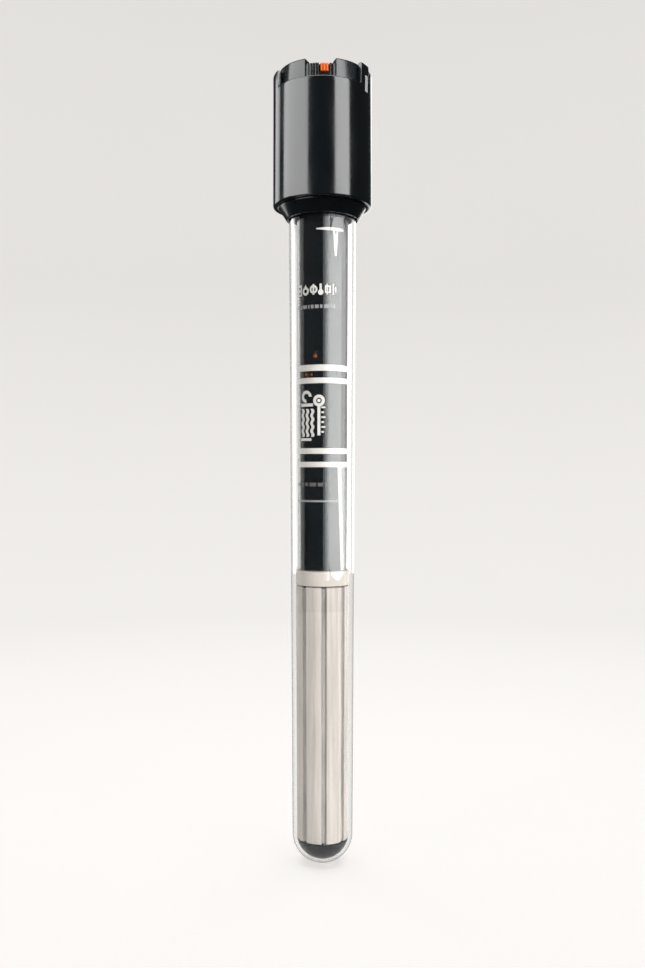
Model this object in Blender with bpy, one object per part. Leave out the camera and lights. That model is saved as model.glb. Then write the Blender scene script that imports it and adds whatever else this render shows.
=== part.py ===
"""Submersible aquarium heater: glass tube, black cap with a temperature dial,
thermostat inside a printed sleeve and a grooved ceramic heating core.

The heater's axis is +Z with the cap on top. The printed front faces -Y.
Lengths in the constants are millimetres, and MM turns them into metres.
Azimuths are degrees from the front (-Y), positive towards +X.
"""
from math import asin, cos, degrees, pi, radians, sin, sqrt, tau

import bmesh
import bpy
from mathutils import Matrix, Vector

MM = 0.001
GAP = 0.3                    # clearance between touching pieces
ROUND = 32                   # flats round a tube-sized body
FINE = 48                    # flats round the cap
SMALL = 12                   # flats round a pin or a wire-sized body

# Glass tube. Height 0 is the plain stretch that a holder grips.
TUBE_R = 10.0
TUBE_WALL = 1.0
BORE_R = TUBE_R - TUBE_WALL
TUBE_TOP = 45.0
TUBE_BOTTOM = -172.0
DOME_Z = TUBE_BOTTOM + TUBE_R

# Cap shell
CAP_R_LOW = 14.75
CAP_R_HIGH = 14.4
CAP_WALL_R = 12.65           # inner radius of the skirt
CAP_BOTTOM = 35.0
CAP_STEP_R = 13.3            # step in the cap's underside
CAP_STEP = CAP_BOTTOM + 0.9
CAP_RIM = CAP_BOTTOM + 31.5
GUARD_TOP = CAP_RIM + 4.2
POST_TOP = CAP_RIM + 5.3
WELL_R = 13.05               # radius of the well that the dial sits in
DECK_TOP = 60.5
DECK_UNDER = 58.0
DECK_HOLE_R = 4.9
LAND_TOP = 47.6              # ring of the cap that steadies the tube
LAND_UNDER = 42.0
LAND_R = TUBE_R + 0.35
FRONT_WINDOW = (-63.0, 50.0)
REAR_WINDOW = (117.0, 243.0)
POST_SPAN = (50.5, 67.0)

# Clamp ring and tube seal
COLLAR_BOTTOM = 31.5
COLLAR_R = 10.8              # at the bottom of the collar's cone
CONE_TOP_R = CAP_STEP_R - GAP  # the cone fills the step in the cap's underside
CLAMP_R = 12.3
CLAMP_TOP = 39.0

# Cord inlet at the rear of the cap
INLET_Z = 52.8
INLET_HOLE_R = 5.1
BOSS_R = 6.9
BOSS_FACE_Y = 15.2
GLAND_FLANGE_R = 6.6
GLAND_END_Y = 18.6
GLAND_OUTER_R = 4.8
GLAND_BORE_R = 4.25
GROMMET_R = 3.95
CORD_BORE_R = 3.25
GROMMET_END_Y = 25.0

# Dial
DIAL_BOTTOM = 62.2
DIAL_TOP = CAP_RIM + 3.9
DIAL_R = 12.25
LUG_TOP = CAP_RIM + 5.2
LUG_R = 12.75
LUG_SWEEP = 50.0
LUG_START = 17.5             # azimuth where the first lug begins
RIB_PITCH = 3.75
RIBS_PER_GAP = 10
POINTER_AZIMUTH = 2.5
POINTER_RIBS = 3
HUB_R = 8.2
RIB_TIP_R = 12.65
RIB_ROOT_R = 11.8
POINTER_FLOOR = 68.2
DIAL_WEB = 68.2              # underside of the dial's top
COVER_R = 6.3
COVER_RECESS = 69.3

# Spindle and adjusting thread
SPINDLE_R = 2.0
SPINDLE_TOP = 65.7
SPINDLE_BOTTOM = 8.0
THREAD_R = 1.7
THREAD_TOP = 24.0
CIRCLIP_GROOVE = (53.0, 54.2)
CIRCLIP_GROOVE_R = 1.5

# Sleeve and thermostat board
SLEEVE_R = 7.8
SLEEVE_WALL = 0.3
SLEEVE_TOP = 34.7
SLEEVE_BOTTOM = -73.1
WINDOWS = ((-14.7, -8.5), (-34.0, -13.2))     # azimuth and height
BOARD_FRONT = 3.2
BOARD_BACK = 4.4
BOARD_HALF = 5.0
BOARD_TOP = 34.7
BOARD_BOTTOM = -58.0
TONGUE_BOTTOM = -70.8

# Set lever and contacts
PIVOT_Y = -3.5
PIVOT_Z = 0.0
PIN_R = 0.6
CONTACT_R = 1.0
CONTACT_Z = -8.5
LEVER_HALF = 1.2

# Bimetal strip
BIMETAL_Y = 0.15
BIMETAL_Z = -47.0
BIMETAL_TOP = -7.0
BIMETAL_BOTTOM = -50.0

# Heating core
CORE_R = 8.5
CORE_TOP = -78.3
CORE_BOTTOM = -163.0
CORE_BORE_R = 1.8
GROOVES = 8
GROOVE_FIRST = 3.0
GROOVE_STEP = 360.0 / GROOVES
GROOVE_WIDTH = 1.5
GROOVE_FLOOR_R = 6.3
COIL_PATH_R = 7.1
COIL_R = 0.45
COIL_END_RISE = 0.95
TAIL_AZIMUTHS = (183.0, 138.0)
TAIL_PATH_R = 5.8
TAIL_HOLE_R = 0.8
TAIL_END = -68.3
RECESS_OUTER_R = 7.85        # outer radius of the end recesses for the coil
RING_BOTTOM = -78.0
RING_SHOULDER = SLEEVE_BOTTOM - GAP
RING_TOP = -72.2
MICA_UNDER = -71.9
MICA_TOP = -71.1
SPIGOT_R = 7.15              # the ring's step that the sleeve slides over
RECESS_DEPTH = 1.6
CUSHION_TOP = CORE_BOTTOM - GAP

# Conductors of the cord
LEAD_X = 5.2
LEAD_Y = 2.5
LEAD_R = 0.7


def clear_scene():
    for old in list(bpy.data.objects):
        bpy.data.objects.remove(old, do_unlink=True)


def material(name, colour, roughness, metallic=0.0):
    mat = bpy.data.materials.new(name)
    mat.use_nodes = True
    mat.diffuse_color = (*colour, 1.0)
    shader = mat.node_tree.nodes["Principled BSDF"]
    shader.inputs["Base Color"].default_value = (*colour, 1.0)
    shader.inputs["Roughness"].default_value = roughness
    shader.inputs["Metallic"].default_value = metallic
    return mat


def black_plastic(name):
    return material(name, (0.008, 0.011, 0.013), 0.22)


def orange_plastic(name):
    return material(name, (0.75, 0.17, 0.03), 0.35)


def black_rubber(name):
    return material(name, (0.012, 0.014, 0.017), 0.6)


def brass(name):
    return material(name, (0.62, 0.42, 0.16), 0.3, 1.0)


def steel(name):
    return material(name, (0.55, 0.55, 0.56), 0.3, 1.0)


def silver(name):
    return material(name, (0.82, 0.82, 0.8), 0.2, 1.0)


def ceramic(name):
    return material(name, (0.79, 0.72, 0.64), 0.55)


def clear_glass(name):
    return material(name, (0.9, 0.92, 0.9), 0.03)


def insulation(name, colour):
    return material(name, colour, 0.5)


def place(name, mesh, mat, location=(0.0, 0.0, 0.0), rotation=(0.0, 0.0, 0.0), parent=None):
    """Put a mesh made in millimetres into the scene as one named piece."""
    mesh.transform(Matrix.Scale(MM, 4))
    piece = bpy.data.objects.new(name, mesh)
    bpy.context.scene.collection.objects.link(piece)
    piece.data.materials.append(mat)
    piece.parent = parent
    piece.location = Vector(location) * MM
    piece.rotation_euler = rotation
    return piece


def mesh_from(bm, name, sharp=30.0):
    bmesh.ops.recalc_face_normals(bm, faces=bm.faces)
    mesh = bpy.data.meshes.new(name)
    bm.to_mesh(mesh)
    bm.free()
    mesh.shade_smooth()
    mesh.set_sharp_from_angle(angle=radians(sharp))
    return mesh


def turned_mesh(name, outline, segments=ROUND):
    """Spin a closed outline of (radius, height) points about Z. Sides on the axis are left out."""
    bm = bmesh.new()
    verts = [bm.verts.new((r, 0.0, z)) for r, z in outline]
    edges = [bm.edges.new(pair) for pair in zip(verts, verts[1:] + verts[:1])
             if pair[0].co.x > 0.0 or pair[1].co.x > 0.0]
    bmesh.ops.spin(bm, geom=verts + edges, cent=(0, 0, 0), axis=(0, 0, 1), angle=tau,
                   steps=segments, use_merge=True)
    bmesh.ops.remove_doubles(bm, verts=bm.verts, dist=1e-4)
    return mesh_from(bm, name)


def sector_mesh(name, outline, start, end, steps=10):
    """Spin an outline from one azimuth to another and close both ends."""
    bm = bmesh.new()
    a = radians(start)
    verts = [bm.verts.new((r * sin(a), -r * cos(a), z)) for r, z in outline]
    face = bm.faces.new(verts)
    bmesh.ops.spin(bm, geom=[face], cent=(0, 0, 0), axis=(0, 0, 1),
                   angle=radians(end - start), steps=steps)
    return mesh_from(bm, name)


def prism_mesh(name, points, low, high):
    """Extrude a closed outline of (x, y) points from one height to another."""
    bm = bmesh.new()
    face = bm.faces.new([bm.verts.new((x, y, low)) for x, y in points])
    top = bmesh.ops.extrude_face_region(bm, geom=[face])["geom"]
    lifted = [item for item in top if isinstance(item, bmesh.types.BMVert)]
    bmesh.ops.translate(bm, verts=lifted, vec=(0, 0, high - low))
    return mesh_from(bm, name)


def box_mesh(name, x, y, z, bevel=0.15):
    """A box between three (low, high) pairs, with slightly broken edges."""
    bm = bmesh.new()
    bmesh.ops.create_cube(bm, size=1.0)
    size = [pair[1] - pair[0] for pair in (x, y, z)]
    centre = [(pair[0] + pair[1]) / 2 for pair in (x, y, z)]
    bmesh.ops.scale(bm, vec=size, verts=bm.verts)
    bmesh.ops.translate(bm, vec=centre, verts=bm.verts)
    if bevel:
        bmesh.ops.bevel(bm, geom=bm.edges[:], offset=bevel, segments=1, affect="EDGES")
    return mesh_from(bm, name)


def cylinder_mesh(name, radius, low, high, segments=SMALL):
    return turned_mesh(name, [(0, low), (radius, low), (radius, high), (0, high)], segments)


def ring_mesh(name, radius, section, height, segments=ROUND, sides=8):
    """An O-ring: a circle of the section radius carried round the axis."""
    outline = [(radius + section * cos(tau * i / sides), height + section * sin(tau * i / sides))
               for i in range(sides)]
    return turned_mesh(name, outline, segments)


def arc(radius, centre_z, start, end, steps):
    """Points of a circle about the axis, angles from the horizontal."""
    angles = [radians(start + (end - start) * i / steps) for i in range(steps + 1)]
    return [(round(radius * cos(a), 6), centre_z + radius * sin(a)) for a in angles]


def polar(radius, azimuth, z=None):
    a = radians(azimuth)
    point = (radius * sin(a), -radius * cos(a))
    return point if z is None else (*point, z)


def smooth_path(points, steps=5):
    """A Catmull-Rom curve through the given points."""
    knots = [Vector(p) for p in (points[0], *points, points[-1])]
    path = []
    for p0, p1, p2, p3 in zip(knots, knots[1:], knots[2:], knots[3:]):
        for i in range(steps):
            t = i / steps
            path.append(0.5 * (2 * p1 + (p2 - p0) * t + (2 * p0 - 5 * p1 + 4 * p2 - p3) * t ** 2
                               + (3 * p1 - p0 - 3 * p2 + p3) * t ** 3))
    path.append(knots[-1])
    return path


def wire(name, points, radius, mat):
    """A round wire along a list of points."""
    curve = bpy.data.curves.new(name, "CURVE")
    curve.dimensions = "3D"
    curve.bevel_depth = radius * MM
    curve.bevel_resolution = 1
    curve.use_fill_caps = True
    curve.materials.append(mat)
    spline = curve.splines.new("POLY")
    spline.points.add(len(points) - 1)
    for knot, point in zip(spline.points, points):
        knot.co = (*(Vector(point) * MM), 1.0)
    piece = bpy.data.objects.new(name, curve)
    bpy.context.scene.collection.objects.link(piece)
    return piece


def combine(piece, mesh, operation):
    """Cut a helper mesh, in the piece's own millimetres, from the piece or join it on."""
    helper = place(f"{piece.name}_{operation.lower()}_{len(piece.modifiers)}", mesh,
                   piece.data.materials[0], piece.location / MM, piece.rotation_euler, piece.parent)
    helper.hide_render = True
    helper.display_type = "WIRE"
    modifier = piece.modifiers.new(helper.name, "BOOLEAN")
    modifier.operation = operation
    modifier.object = helper


def cut(piece, mesh):
    combine(piece, mesh, "DIFFERENCE")


def join(piece, mesh):
    combine(piece, mesh, "UNION")


def along_y(mesh, x=0.0, z=0.0):
    """Turn a body made on the Z axis so that it points to +Y."""
    mesh.transform(Matrix.Translation((x, 0.0, z)) @ Matrix.Rotation(-pi / 2, 4, "X"))
    return mesh


def along_x(mesh, y=0.0, z=0.0):
    mesh.transform(Matrix.Translation((0.0, y, z)) @ Matrix.Rotation(pi / 2, 4, "Y"))
    return mesh


def shifted(mesh, x, y, z=0.0):
    mesh.transform(Matrix.Translation((x, y, z)))
    return mesh


# ---- cap and tube ---------------------------------------------------------

def cap_shell():
    outline = [
        (CAP_WALL_R, CAP_STEP), (CAP_STEP_R, CAP_STEP), (CAP_STEP_R, CAP_BOTTOM),
        (CAP_R_LOW - 0.4, CAP_BOTTOM), (CAP_R_LOW, CAP_BOTTOM + 0.4),
        (CAP_R_HIGH, GUARD_TOP - 0.4), (CAP_R_HIGH - 0.3, GUARD_TOP),
        (WELL_R + 0.3, GUARD_TOP), (WELL_R, GUARD_TOP - 0.3),
        (WELL_R, DECK_TOP), (DECK_HOLE_R, DECK_TOP), (DECK_HOLE_R, DECK_UNDER),
        (CAP_WALL_R, DECK_UNDER), (CAP_WALL_R, LAND_TOP), (LAND_R, LAND_TOP),
        (LAND_R, LAND_UNDER), (CAP_WALL_R, LAND_UNDER),
    ]
    cap = place("cap_shell", turned_mesh("cap_shell", outline, FINE), black_plastic("cap_shell"))
    boss = cylinder_mesh("boss", BOSS_R, CAP_WALL_R + 0.6, BOSS_FACE_Y, ROUND)
    join(cap, along_y(boss, z=INLET_Z))
    post = [(WELL_R + 0.02, 69.0), (CAP_R_HIGH - 0.04, 69.0), (CAP_R_HIGH - 0.04, POST_TOP - 0.3),
            (CAP_R_HIGH - 0.3, POST_TOP), (WELL_R + 0.3, POST_TOP), (WELL_R + 0.02, POST_TOP - 0.3)]
    join(cap, sector_mesh("index_post", post, *POST_SPAN, 5))
    above_rim = [(12.5, CAP_RIM), (CAP_R_HIGH - 0.4, CAP_RIM), (CAP_R_HIGH + 1.0, CAP_RIM - 1.4),
                 (CAP_R_HIGH + 1.0, 74.0), (12.5, 74.0)]
    for window in (FRONT_WINDOW, REAR_WINDOW):
        cut(cap, sector_mesh("window", above_rim, *window, 20))
    inlet = cylinder_mesh("inlet", INLET_HOLE_R, CAP_WALL_R - 1.0, BOSS_FACE_Y + 1.0, ROUND)
    cut(cap, along_y(inlet, z=INLET_Z))


def clamp_ring():
    """A ring round the tube, with a cone that shows below the cap."""
    inner = TUBE_R + GAP
    outline = [
        (inner, COLLAR_BOTTOM + 0.2), (inner + 0.2, COLLAR_BOTTOM),
        (COLLAR_R - 0.2, COLLAR_BOTTOM), (COLLAR_R, COLLAR_BOTTOM + 0.2),
        (CONE_TOP_R, CAP_BOTTOM - 0.2), (CONE_TOP_R, CAP_STEP - GAP), (CLAMP_R, CAP_STEP - GAP),
        (CLAMP_R, CLAMP_TOP), (inner, CLAMP_TOP),
    ]
    place("clamp_ring", turned_mesh("clamp_ring", outline), black_plastic("clamp_ring"))


def glass_tube():
    lip = 0.35
    outline = [(TUBE_R, TUBE_TOP - lip)]
    outline += arc(TUBE_R, DOME_Z, 0, -90, 7)
    outline += arc(BORE_R, DOME_Z, -90, 0, 7)
    outline += [(BORE_R, TUBE_TOP - lip), (BORE_R + lip, TUBE_TOP), (TUBE_R - lip, TUBE_TOP)]
    place("glass_tube", turned_mesh("glass_tube", outline), clear_glass("glass_tube"))


def tube_o_ring():
    middle = (TUBE_R + CAP_WALL_R) / 2
    height = (CLAMP_TOP + LAND_UNDER) / 2
    place("tube_o_ring", ring_mesh("tube_o_ring", middle, 0.98, height),
          black_rubber("tube_o_ring"))


def seal_bung():
    plug_r = BORE_R - GAP
    flange_r = TUBE_R - 0.2
    shaft_r = SPINDLE_R + 0.6
    outline = [(shaft_r, 35.0), (plug_r - 0.5, 35.0), (plug_r, 35.5), (plug_r, TUBE_TOP + GAP),
               (flange_r, TUBE_TOP + GAP), (flange_r, 47.3), (shaft_r, 47.3)]
    bung = place("seal_bung", turned_mesh("seal_bung", outline), black_rubber("seal_bung"))
    for x in (-LEAD_X, LEAD_X):
        hole = cylinder_mesh("lead_hole", LEAD_R + 0.35, 34.0, 48.5)
        cut(bung, shifted(hole, x, LEAD_Y))


def cord_gland():
    outline = [
        (GLAND_BORE_R, 12.0), (GLAND_OUTER_R, 12.0), (GLAND_OUTER_R, BOSS_FACE_Y + GAP),
        (GLAND_FLANGE_R - 0.4, BOSS_FACE_Y + GAP), (GLAND_FLANGE_R, BOSS_FACE_Y + GAP + 0.4),
        (GLAND_FLANGE_R, GLAND_END_Y - 0.4), (GLAND_FLANGE_R - 0.4, GLAND_END_Y),
        (GLAND_BORE_R, GLAND_END_Y),
    ]
    mesh = along_y(turned_mesh("cord_gland", outline, 24))
    place("cord_gland", mesh, black_plastic("cord_gland"), (0.0, 0.0, INLET_Z))


def cord_grommet():
    """A rubber strain relief with the cord's bore, ringed so that it can bend."""
    collar_y = GLAND_END_Y + GAP
    outline = [(CORD_BORE_R, 12.3), (GROMMET_R, 12.3), (GROMMET_R, collar_y), (5.2, collar_y),
               (5.2, collar_y + 1.2)]
    rings = 3
    pitch = (GROMMET_END_Y - collar_y - 1.2) / rings
    for i in range(rings):
        start = collar_y + 1.2 + i * pitch
        radius = 4.7 - 0.2 * i
        outline += [(3.9, start), (3.9, start + 0.5), (radius, start + 0.6),
                    (radius, start + pitch)]
    outline.append((CORD_BORE_R, GROMMET_END_Y))
    mesh = along_y(turned_mesh("cord_grommet", outline, 24))
    place("cord_grommet", mesh, black_rubber("cord_grommet"), (0.0, 0.0, INLET_Z))


# ---- dial, on the dial axis -----------------------------------------------

def temperature_dial(axis):
    outline = [
        (SPINDLE_R + GAP, DIAL_BOTTOM), (HUB_R, DIAL_BOTTOM), (HUB_R, DIAL_WEB), (11.2, DIAL_WEB),
        (11.2, DIAL_BOTTOM), (DIAL_R, DIAL_BOTTOM), (DIAL_R, DIAL_TOP - 0.4),
        (DIAL_R - 0.4, DIAL_TOP), (COVER_R + GAP, DIAL_TOP), (COVER_R + GAP, COVER_RECESS),
        (3.2, COVER_RECESS), (3.2, 67.6), (1.5, 67.6), (1.5, 66.0), (SPINDLE_R + GAP, 66.0),
    ]
    dial = place("temperature_dial", turned_mesh("temperature_dial", outline, FINE),
                 black_plastic("temperature_dial"), parent=axis)
    lug_bottom, lug_root = DIAL_BOTTOM + 0.4, 69.0
    lug = [(RIB_ROOT_R, lug_bottom), (LUG_R, lug_bottom), (LUG_R, LUG_TOP - 0.4),
           (LUG_R - 0.4, LUG_TOP), (9.9, LUG_TOP), (9.5, LUG_TOP - 0.4), (9.5, lug_root),
           (RIB_ROOT_R, lug_root)]
    for quarter in range(4):
        start = LUG_START + 90.0 * quarter
        join(dial, sector_mesh("lug", lug, start, start + LUG_SWEEP, 8))
    join(dial, dial_ribs())
    back, floor = RIB_ROOT_R - GAP, POINTER_FLOOR - GAP
    pocket = [(back, floor), (13.5, floor), (13.5, 72.0), (back, 72.0)]
    half = pointer_half_angle() + degrees(asin(GAP / DIAL_R))
    cut(dial, sector_mesh("pocket", pocket, POINTER_AZIMUTH - half, POINTER_AZIMUTH + half, 4))


def pointer_half_angle():
    return RIB_PITCH * POINTER_RIBS / 2


def rib_corners(azimuth, inner_r):
    """The outline of one grip rib, narrow at its tip."""
    base = degrees(0.36 / DIAL_R)
    tip = degrees(0.18 / LUG_R)
    return [polar(inner_r, azimuth - base), polar(RIB_TIP_R, azimuth - tip),
            polar(RIB_TIP_R, azimuth + tip), polar(inner_r, azimuth + base)]


def dial_ribs():
    bm = bmesh.new()
    gap_start = LUG_START + LUG_SWEEP
    margin = (90.0 - LUG_SWEEP - RIB_PITCH * (RIBS_PER_GAP - 1)) / 2
    for quarter in range(4):
        for i in range(RIBS_PER_GAP):
            azimuth = gap_start + 90.0 * quarter + margin + RIB_PITCH * i
            away = (azimuth - POINTER_AZIMUTH + 180.0) % 360.0 - 180.0
            if abs(away) < pointer_half_angle() + 2.0:
                continue
            corners = rib_corners(azimuth, RIB_ROOT_R)
            face = bm.faces.new([bm.verts.new((x, y, DIAL_BOTTOM + 0.5)) for x, y in corners])
            top = bmesh.ops.extrude_face_region(bm, geom=[face])["geom"]
            lifted = [item for item in top if isinstance(item, bmesh.types.BMVert)]
            bmesh.ops.translate(bm, verts=lifted, vec=(0, 0, DIAL_TOP - DIAL_BOTTOM - 0.8))
    return mesh_from(bm, "ribs")


def dial_pointer(axis):
    """The orange index: a short strip with the same ribs as the dial."""
    half = pointer_half_angle()
    face_r, top = 12.3, DIAL_TOP - 0.1
    strip = [(RIB_ROOT_R, POINTER_FLOOR), (face_r, POINTER_FLOOR), (face_r, top),
             (RIB_ROOT_R, top)]
    pointer = place("dial_pointer",
                    sector_mesh("dial_pointer", strip, POINTER_AZIMUTH - half,
                                POINTER_AZIMUTH + half, 6),
                    orange_plastic("dial_pointer"), parent=axis)
    for i in range(POINTER_RIBS):
        azimuth = POINTER_AZIMUTH + RIB_PITCH * (i - (POINTER_RIBS - 1) / 2)
        join(pointer, prism_mesh("rib", rib_corners(azimuth, 12.0), POINTER_FLOOR + 0.2,
                                 DIAL_TOP - 0.3))


def dial_cover(axis):
    low, high = COVER_RECESS + GAP, 70.9
    cover = [(0, low), (COVER_R - 0.2, low), (COVER_R, low + 0.2), (COVER_R, high - 0.3),
             (COVER_R - 0.4, high), (0, high)]
    place("dial_cover", turned_mesh("dial_cover", cover), black_plastic("dial_cover"),
          parent=axis)


def dial_screw(axis):
    outline = [(0, 59.6), (1.2, 59.6), (1.2, 67.9), (2.8, 67.9), (2.8, 68.6), (2.3, 69.0),
               (0, 69.0)]
    screw = place("dial_screw", turned_mesh("dial_screw", outline, SMALL), steel("dial_screw"),
                  parent=axis)
    cut(screw, box_mesh("slot", (-3.5, 3.5), (-0.35, 0.35), (68.5, 69.6), 0))


def dial_spindle(axis):
    low, high = CIRCLIP_GROOVE
    outline = [
        (0, SPINDLE_BOTTOM), (THREAD_R - 0.3, SPINDLE_BOTTOM), (THREAD_R, SPINDLE_BOTTOM + 0.3),
        (THREAD_R, THREAD_TOP), (SPINDLE_R, THREAD_TOP + 0.3), (SPINDLE_R, low),
        (CIRCLIP_GROOVE_R, low), (CIRCLIP_GROOVE_R, high), (SPINDLE_R, high),
        (SPINDLE_R, SPINDLE_TOP), (1.5, SPINDLE_TOP), (1.5, 59.2), (0, 59.2),
    ]
    place("dial_spindle", turned_mesh("dial_spindle", outline, SMALL), brass("dial_spindle"),
          parent=axis)


def spindle_circlip(axis):
    outline = [(CIRCLIP_GROOVE_R + GAP, 53.3), (3.4, 53.3), (3.4, 53.9),
               (CIRCLIP_GROOVE_R + GAP, 53.9)]
    place("spindle_circlip", sector_mesh("spindle_circlip", outline, 25.0, 335.0, 20),
          steel("spindle_circlip"), parent=axis)


def spindle_bush():
    shaft_r = SPINDLE_R + GAP
    outline = [
        (3.6, 54.6), (DECK_HOLE_R - GAP, 54.6), (DECK_HOLE_R - GAP, 55.9), (6.4, 55.9),
        (6.4, DECK_UNDER - GAP), (DECK_HOLE_R - GAP, DECK_UNDER - GAP),
        (DECK_HOLE_R - GAP, 61.4), (shaft_r, 61.4), (shaft_r, 56.9), (3.6, 56.9),
    ]
    place("spindle_bush", turned_mesh("spindle_bush", outline, 24), brass("spindle_bush"))


def spindle_o_ring():
    place("spindle_o_ring", ring_mesh("spindle_o_ring", 2.95, 0.55, 55.9, 24, 6),
          black_rubber("spindle_o_ring"))


def friction_washer():
    """A wave washer between the cap's deck and the dial's hub."""
    inner, outer, middle, wave, half = 5.0, 8.0, 61.35, 0.25, 0.15
    steps = 36
    bm = bmesh.new()
    loops = []
    for i in range(steps):
        azimuth = 360.0 * i / steps
        height = middle + wave * sin(3 * radians(azimuth))
        loops.append([bm.verts.new(polar(r, azimuth, height + dz))
                      for r, dz in ((inner, -half), (outer, -half), (outer, half), (inner, half))])
    for loop, following in zip(loops, loops[1:] + loops[:1]):
        for k in range(4):
            bm.faces.new((loop[k], loop[(k + 1) % 4], following[(k + 1) % 4], following[k]))
    place("friction_washer", mesh_from(bm, "friction_washer"), steel("friction_washer"))


# ---- adjuster and thermostat ----------------------------------------------

def adjuster_nut(axis):
    nut = place("adjuster_nut", box_mesh("adjuster_nut", (-2.7, 2.7), (-2.7, 2.7), (4.0, 17.0)),
                brass("adjuster_nut"), parent=axis)
    join(nut, cylinder_mesh("foot", 0.9, 0.65, 5.0))
    cut(nut, cylinder_mesh("thread", THREAD_R + 0.35, 6.5, 18.0))


def adjuster_guide():
    outline = [(-3.9, 2.9), (-3.9, -3.9), (3.9, -3.9), (3.9, 2.9), (3.0, 2.9), (3.0, -3.0),
               (-3.0, -3.0), (-3.0, 2.9)]
    place("adjuster_guide", prism_mesh("adjuster_guide", outline, 6.0, 15.0),
          insulation("adjuster_guide", (0.75, 0.72, 0.62)))


def lever_bracket():
    outline = [(-3.1, 2.9), (-3.1, -4.6), (-2.4, -4.6), (-2.4, 2.2), (2.4, 2.2), (2.4, -4.6),
               (3.1, -4.6), (3.1, 2.9)]
    bracket = place("lever_bracket", prism_mesh("lever_bracket", outline, -1.6, 1.6),
                    steel("lever_bracket"))
    hole = along_x(cylinder_mesh("pin_hole", PIN_R + GAP, -4.0, 4.0), PIVOT_Y, PIVOT_Z)
    cut(bracket, hole)


def lever_pin():
    mesh = along_x(cylinder_mesh("lever_pin", PIN_R, -3.5, 3.5))
    place("lever_pin", mesh, steel("lever_pin"), (0.0, PIVOT_Y, PIVOT_Z))


def set_lever(axis):
    """An L-shaped lever: the adjuster presses its short arm, and its long arm holds a contact."""
    lever = place("set_lever", along_x(cylinder_mesh("set_lever", 1.5, -2.0, 2.0)),
                  steel("set_lever"), parent=axis)
    join(lever, box_mesh("long_arm", (-LEVER_HALF, LEVER_HALF), (-0.3, 0.3), (-9.6, -0.5), 0))
    join(lever, box_mesh("short_arm", (-LEVER_HALF, LEVER_HALF), (0.5, 4.6), (-0.35, 0.35), 0))
    cut(lever, along_x(cylinder_mesh("bore", PIN_R + GAP, -3.0, 3.0)))


def fixed_contact(axis):
    mesh = along_y(cylinder_mesh("fixed_contact", CONTACT_R, 0.6, 1.2),
                   z=CONTACT_Z - PIVOT_Z)
    place("fixed_contact", mesh, silver("fixed_contact"), parent=axis)


def circuit_board():
    outline = [(-BOARD_HALF, BOARD_TOP), (-BOARD_HALF, BOARD_BOTTOM), (-1.5, BOARD_BOTTOM),
               (-1.5, TONGUE_BOTTOM), (1.5, TONGUE_BOTTOM), (1.5, BOARD_BOTTOM),
               (BOARD_HALF, BOARD_BOTTOM), (BOARD_HALF, BOARD_TOP)]
    mesh = prism_mesh("circuit_board", outline, -BOARD_BACK, -BOARD_FRONT)
    mesh.transform(Matrix.Rotation(pi / 2, 4, "X"))
    board = place("circuit_board", mesh, insulation("circuit_board", (0.45, 0.3, 0.12)))
    cut(board, rivet_hole())


def rivet_hole():
    return along_y(cylinder_mesh("rivet_hole", 1.1, -2.0, 6.0), z=BIMETAL_Z)


def bimetal_post():
    post = place("bimetal_post", box_mesh("bimetal_post", (-2.2, 2.2), (0.7, 2.9), (-50.0, -44.0)),
                 brass("bimetal_post"))
    cut(post, rivet_hole())


def bimetal_rivet():
    outline = [(0, -1.1), (0.9, -1.1), (1.5, -0.7), (1.5, -0.45), (0.8, -0.45), (0.8, 4.7),
               (1.4, 4.7), (1.4, 4.9), (0.9, 5.1), (0, 5.1)]
    mesh = along_y(turned_mesh("bimetal_rivet", outline, SMALL))
    place("bimetal_rivet", mesh, brass("bimetal_rivet"), (0.0, 0.0, BIMETAL_Z))


def bimetal_strip(axis):
    low, high = BIMETAL_BOTTOM - BIMETAL_Z, BIMETAL_TOP - BIMETAL_Z
    strip = place("bimetal_strip", box_mesh("bimetal_strip", (-2.0, 2.0), (-0.25, 0.25),
                                            (low, high), 0.08),
                  steel("bimetal_strip"), parent=axis)
    cut(strip, along_y(cylinder_mesh("rivet_hole", 1.1, -2.0, 2.0)))


def moving_contact(axis):
    mesh = along_y(cylinder_mesh("moving_contact", CONTACT_R, -1.15, -0.55),
                   z=CONTACT_Z - BIMETAL_Z)
    place("moving_contact", mesh, silver("moving_contact"), parent=axis)


def armature_plate(axis):
    low, high = -16.0 - BIMETAL_Z, -11.0 - BIMETAL_Z
    place("armature_plate", box_mesh("armature_plate", (-1.8, 1.8), (0.55, 0.95), (low, high)),
          steel("armature_plate"), parent=axis)


def snap_magnet():
    place("snap_magnet", box_mesh("snap_magnet", (-1.8, 1.8), (1.45, 2.9), (-16.0, -11.0)),
          material("snap_magnet", (0.12, 0.12, 0.13), 0.4, 1.0))


def neon_lamp():
    outline = [(0, -17.5), (0.7, -17.3), (1.1, -16.6), (1.1, -8.2), (0.7, -7.0), (0, -6.6)]
    lamp = turned_mesh("neon_lamp", outline, SMALL)
    place("neon_lamp", lamp, material("neon_lamp", (0.95, 0.38, 0.12), 0.1), polar(5.7, -25.0, 0.0))


def neon_resistor():
    outline = [(0, -30.0), (0.8, -30.0), (1.0, -29.6), (1.0, -28.8), (0.85, -28.5),
               (0.85, -25.5), (1.0, -25.2), (1.0, -24.4), (0.8, -24.0), (0, -24.0)]
    place("neon_resistor", turned_mesh("neon_resistor", outline, SMALL),
          insulation("neon_resistor", (0.55, 0.42, 0.25)), (-3.8, -2.5, 0.0))


def suppression_capacitor():
    place("suppression_capacitor",
          box_mesh("suppression_capacitor", (-3.5, 3.5), (-1.5, 2.9), (-66.0, -55.5), 0.5),
          insulation("suppression_capacitor", (0.6, 0.12, 0.05)))


def terminal(name, side):
    x = sorted((side * 3.6, side * 4.8))
    place(name, box_mesh(name, x, (2.2, 2.9), (26.0, 33.0)), brass(name))


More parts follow.
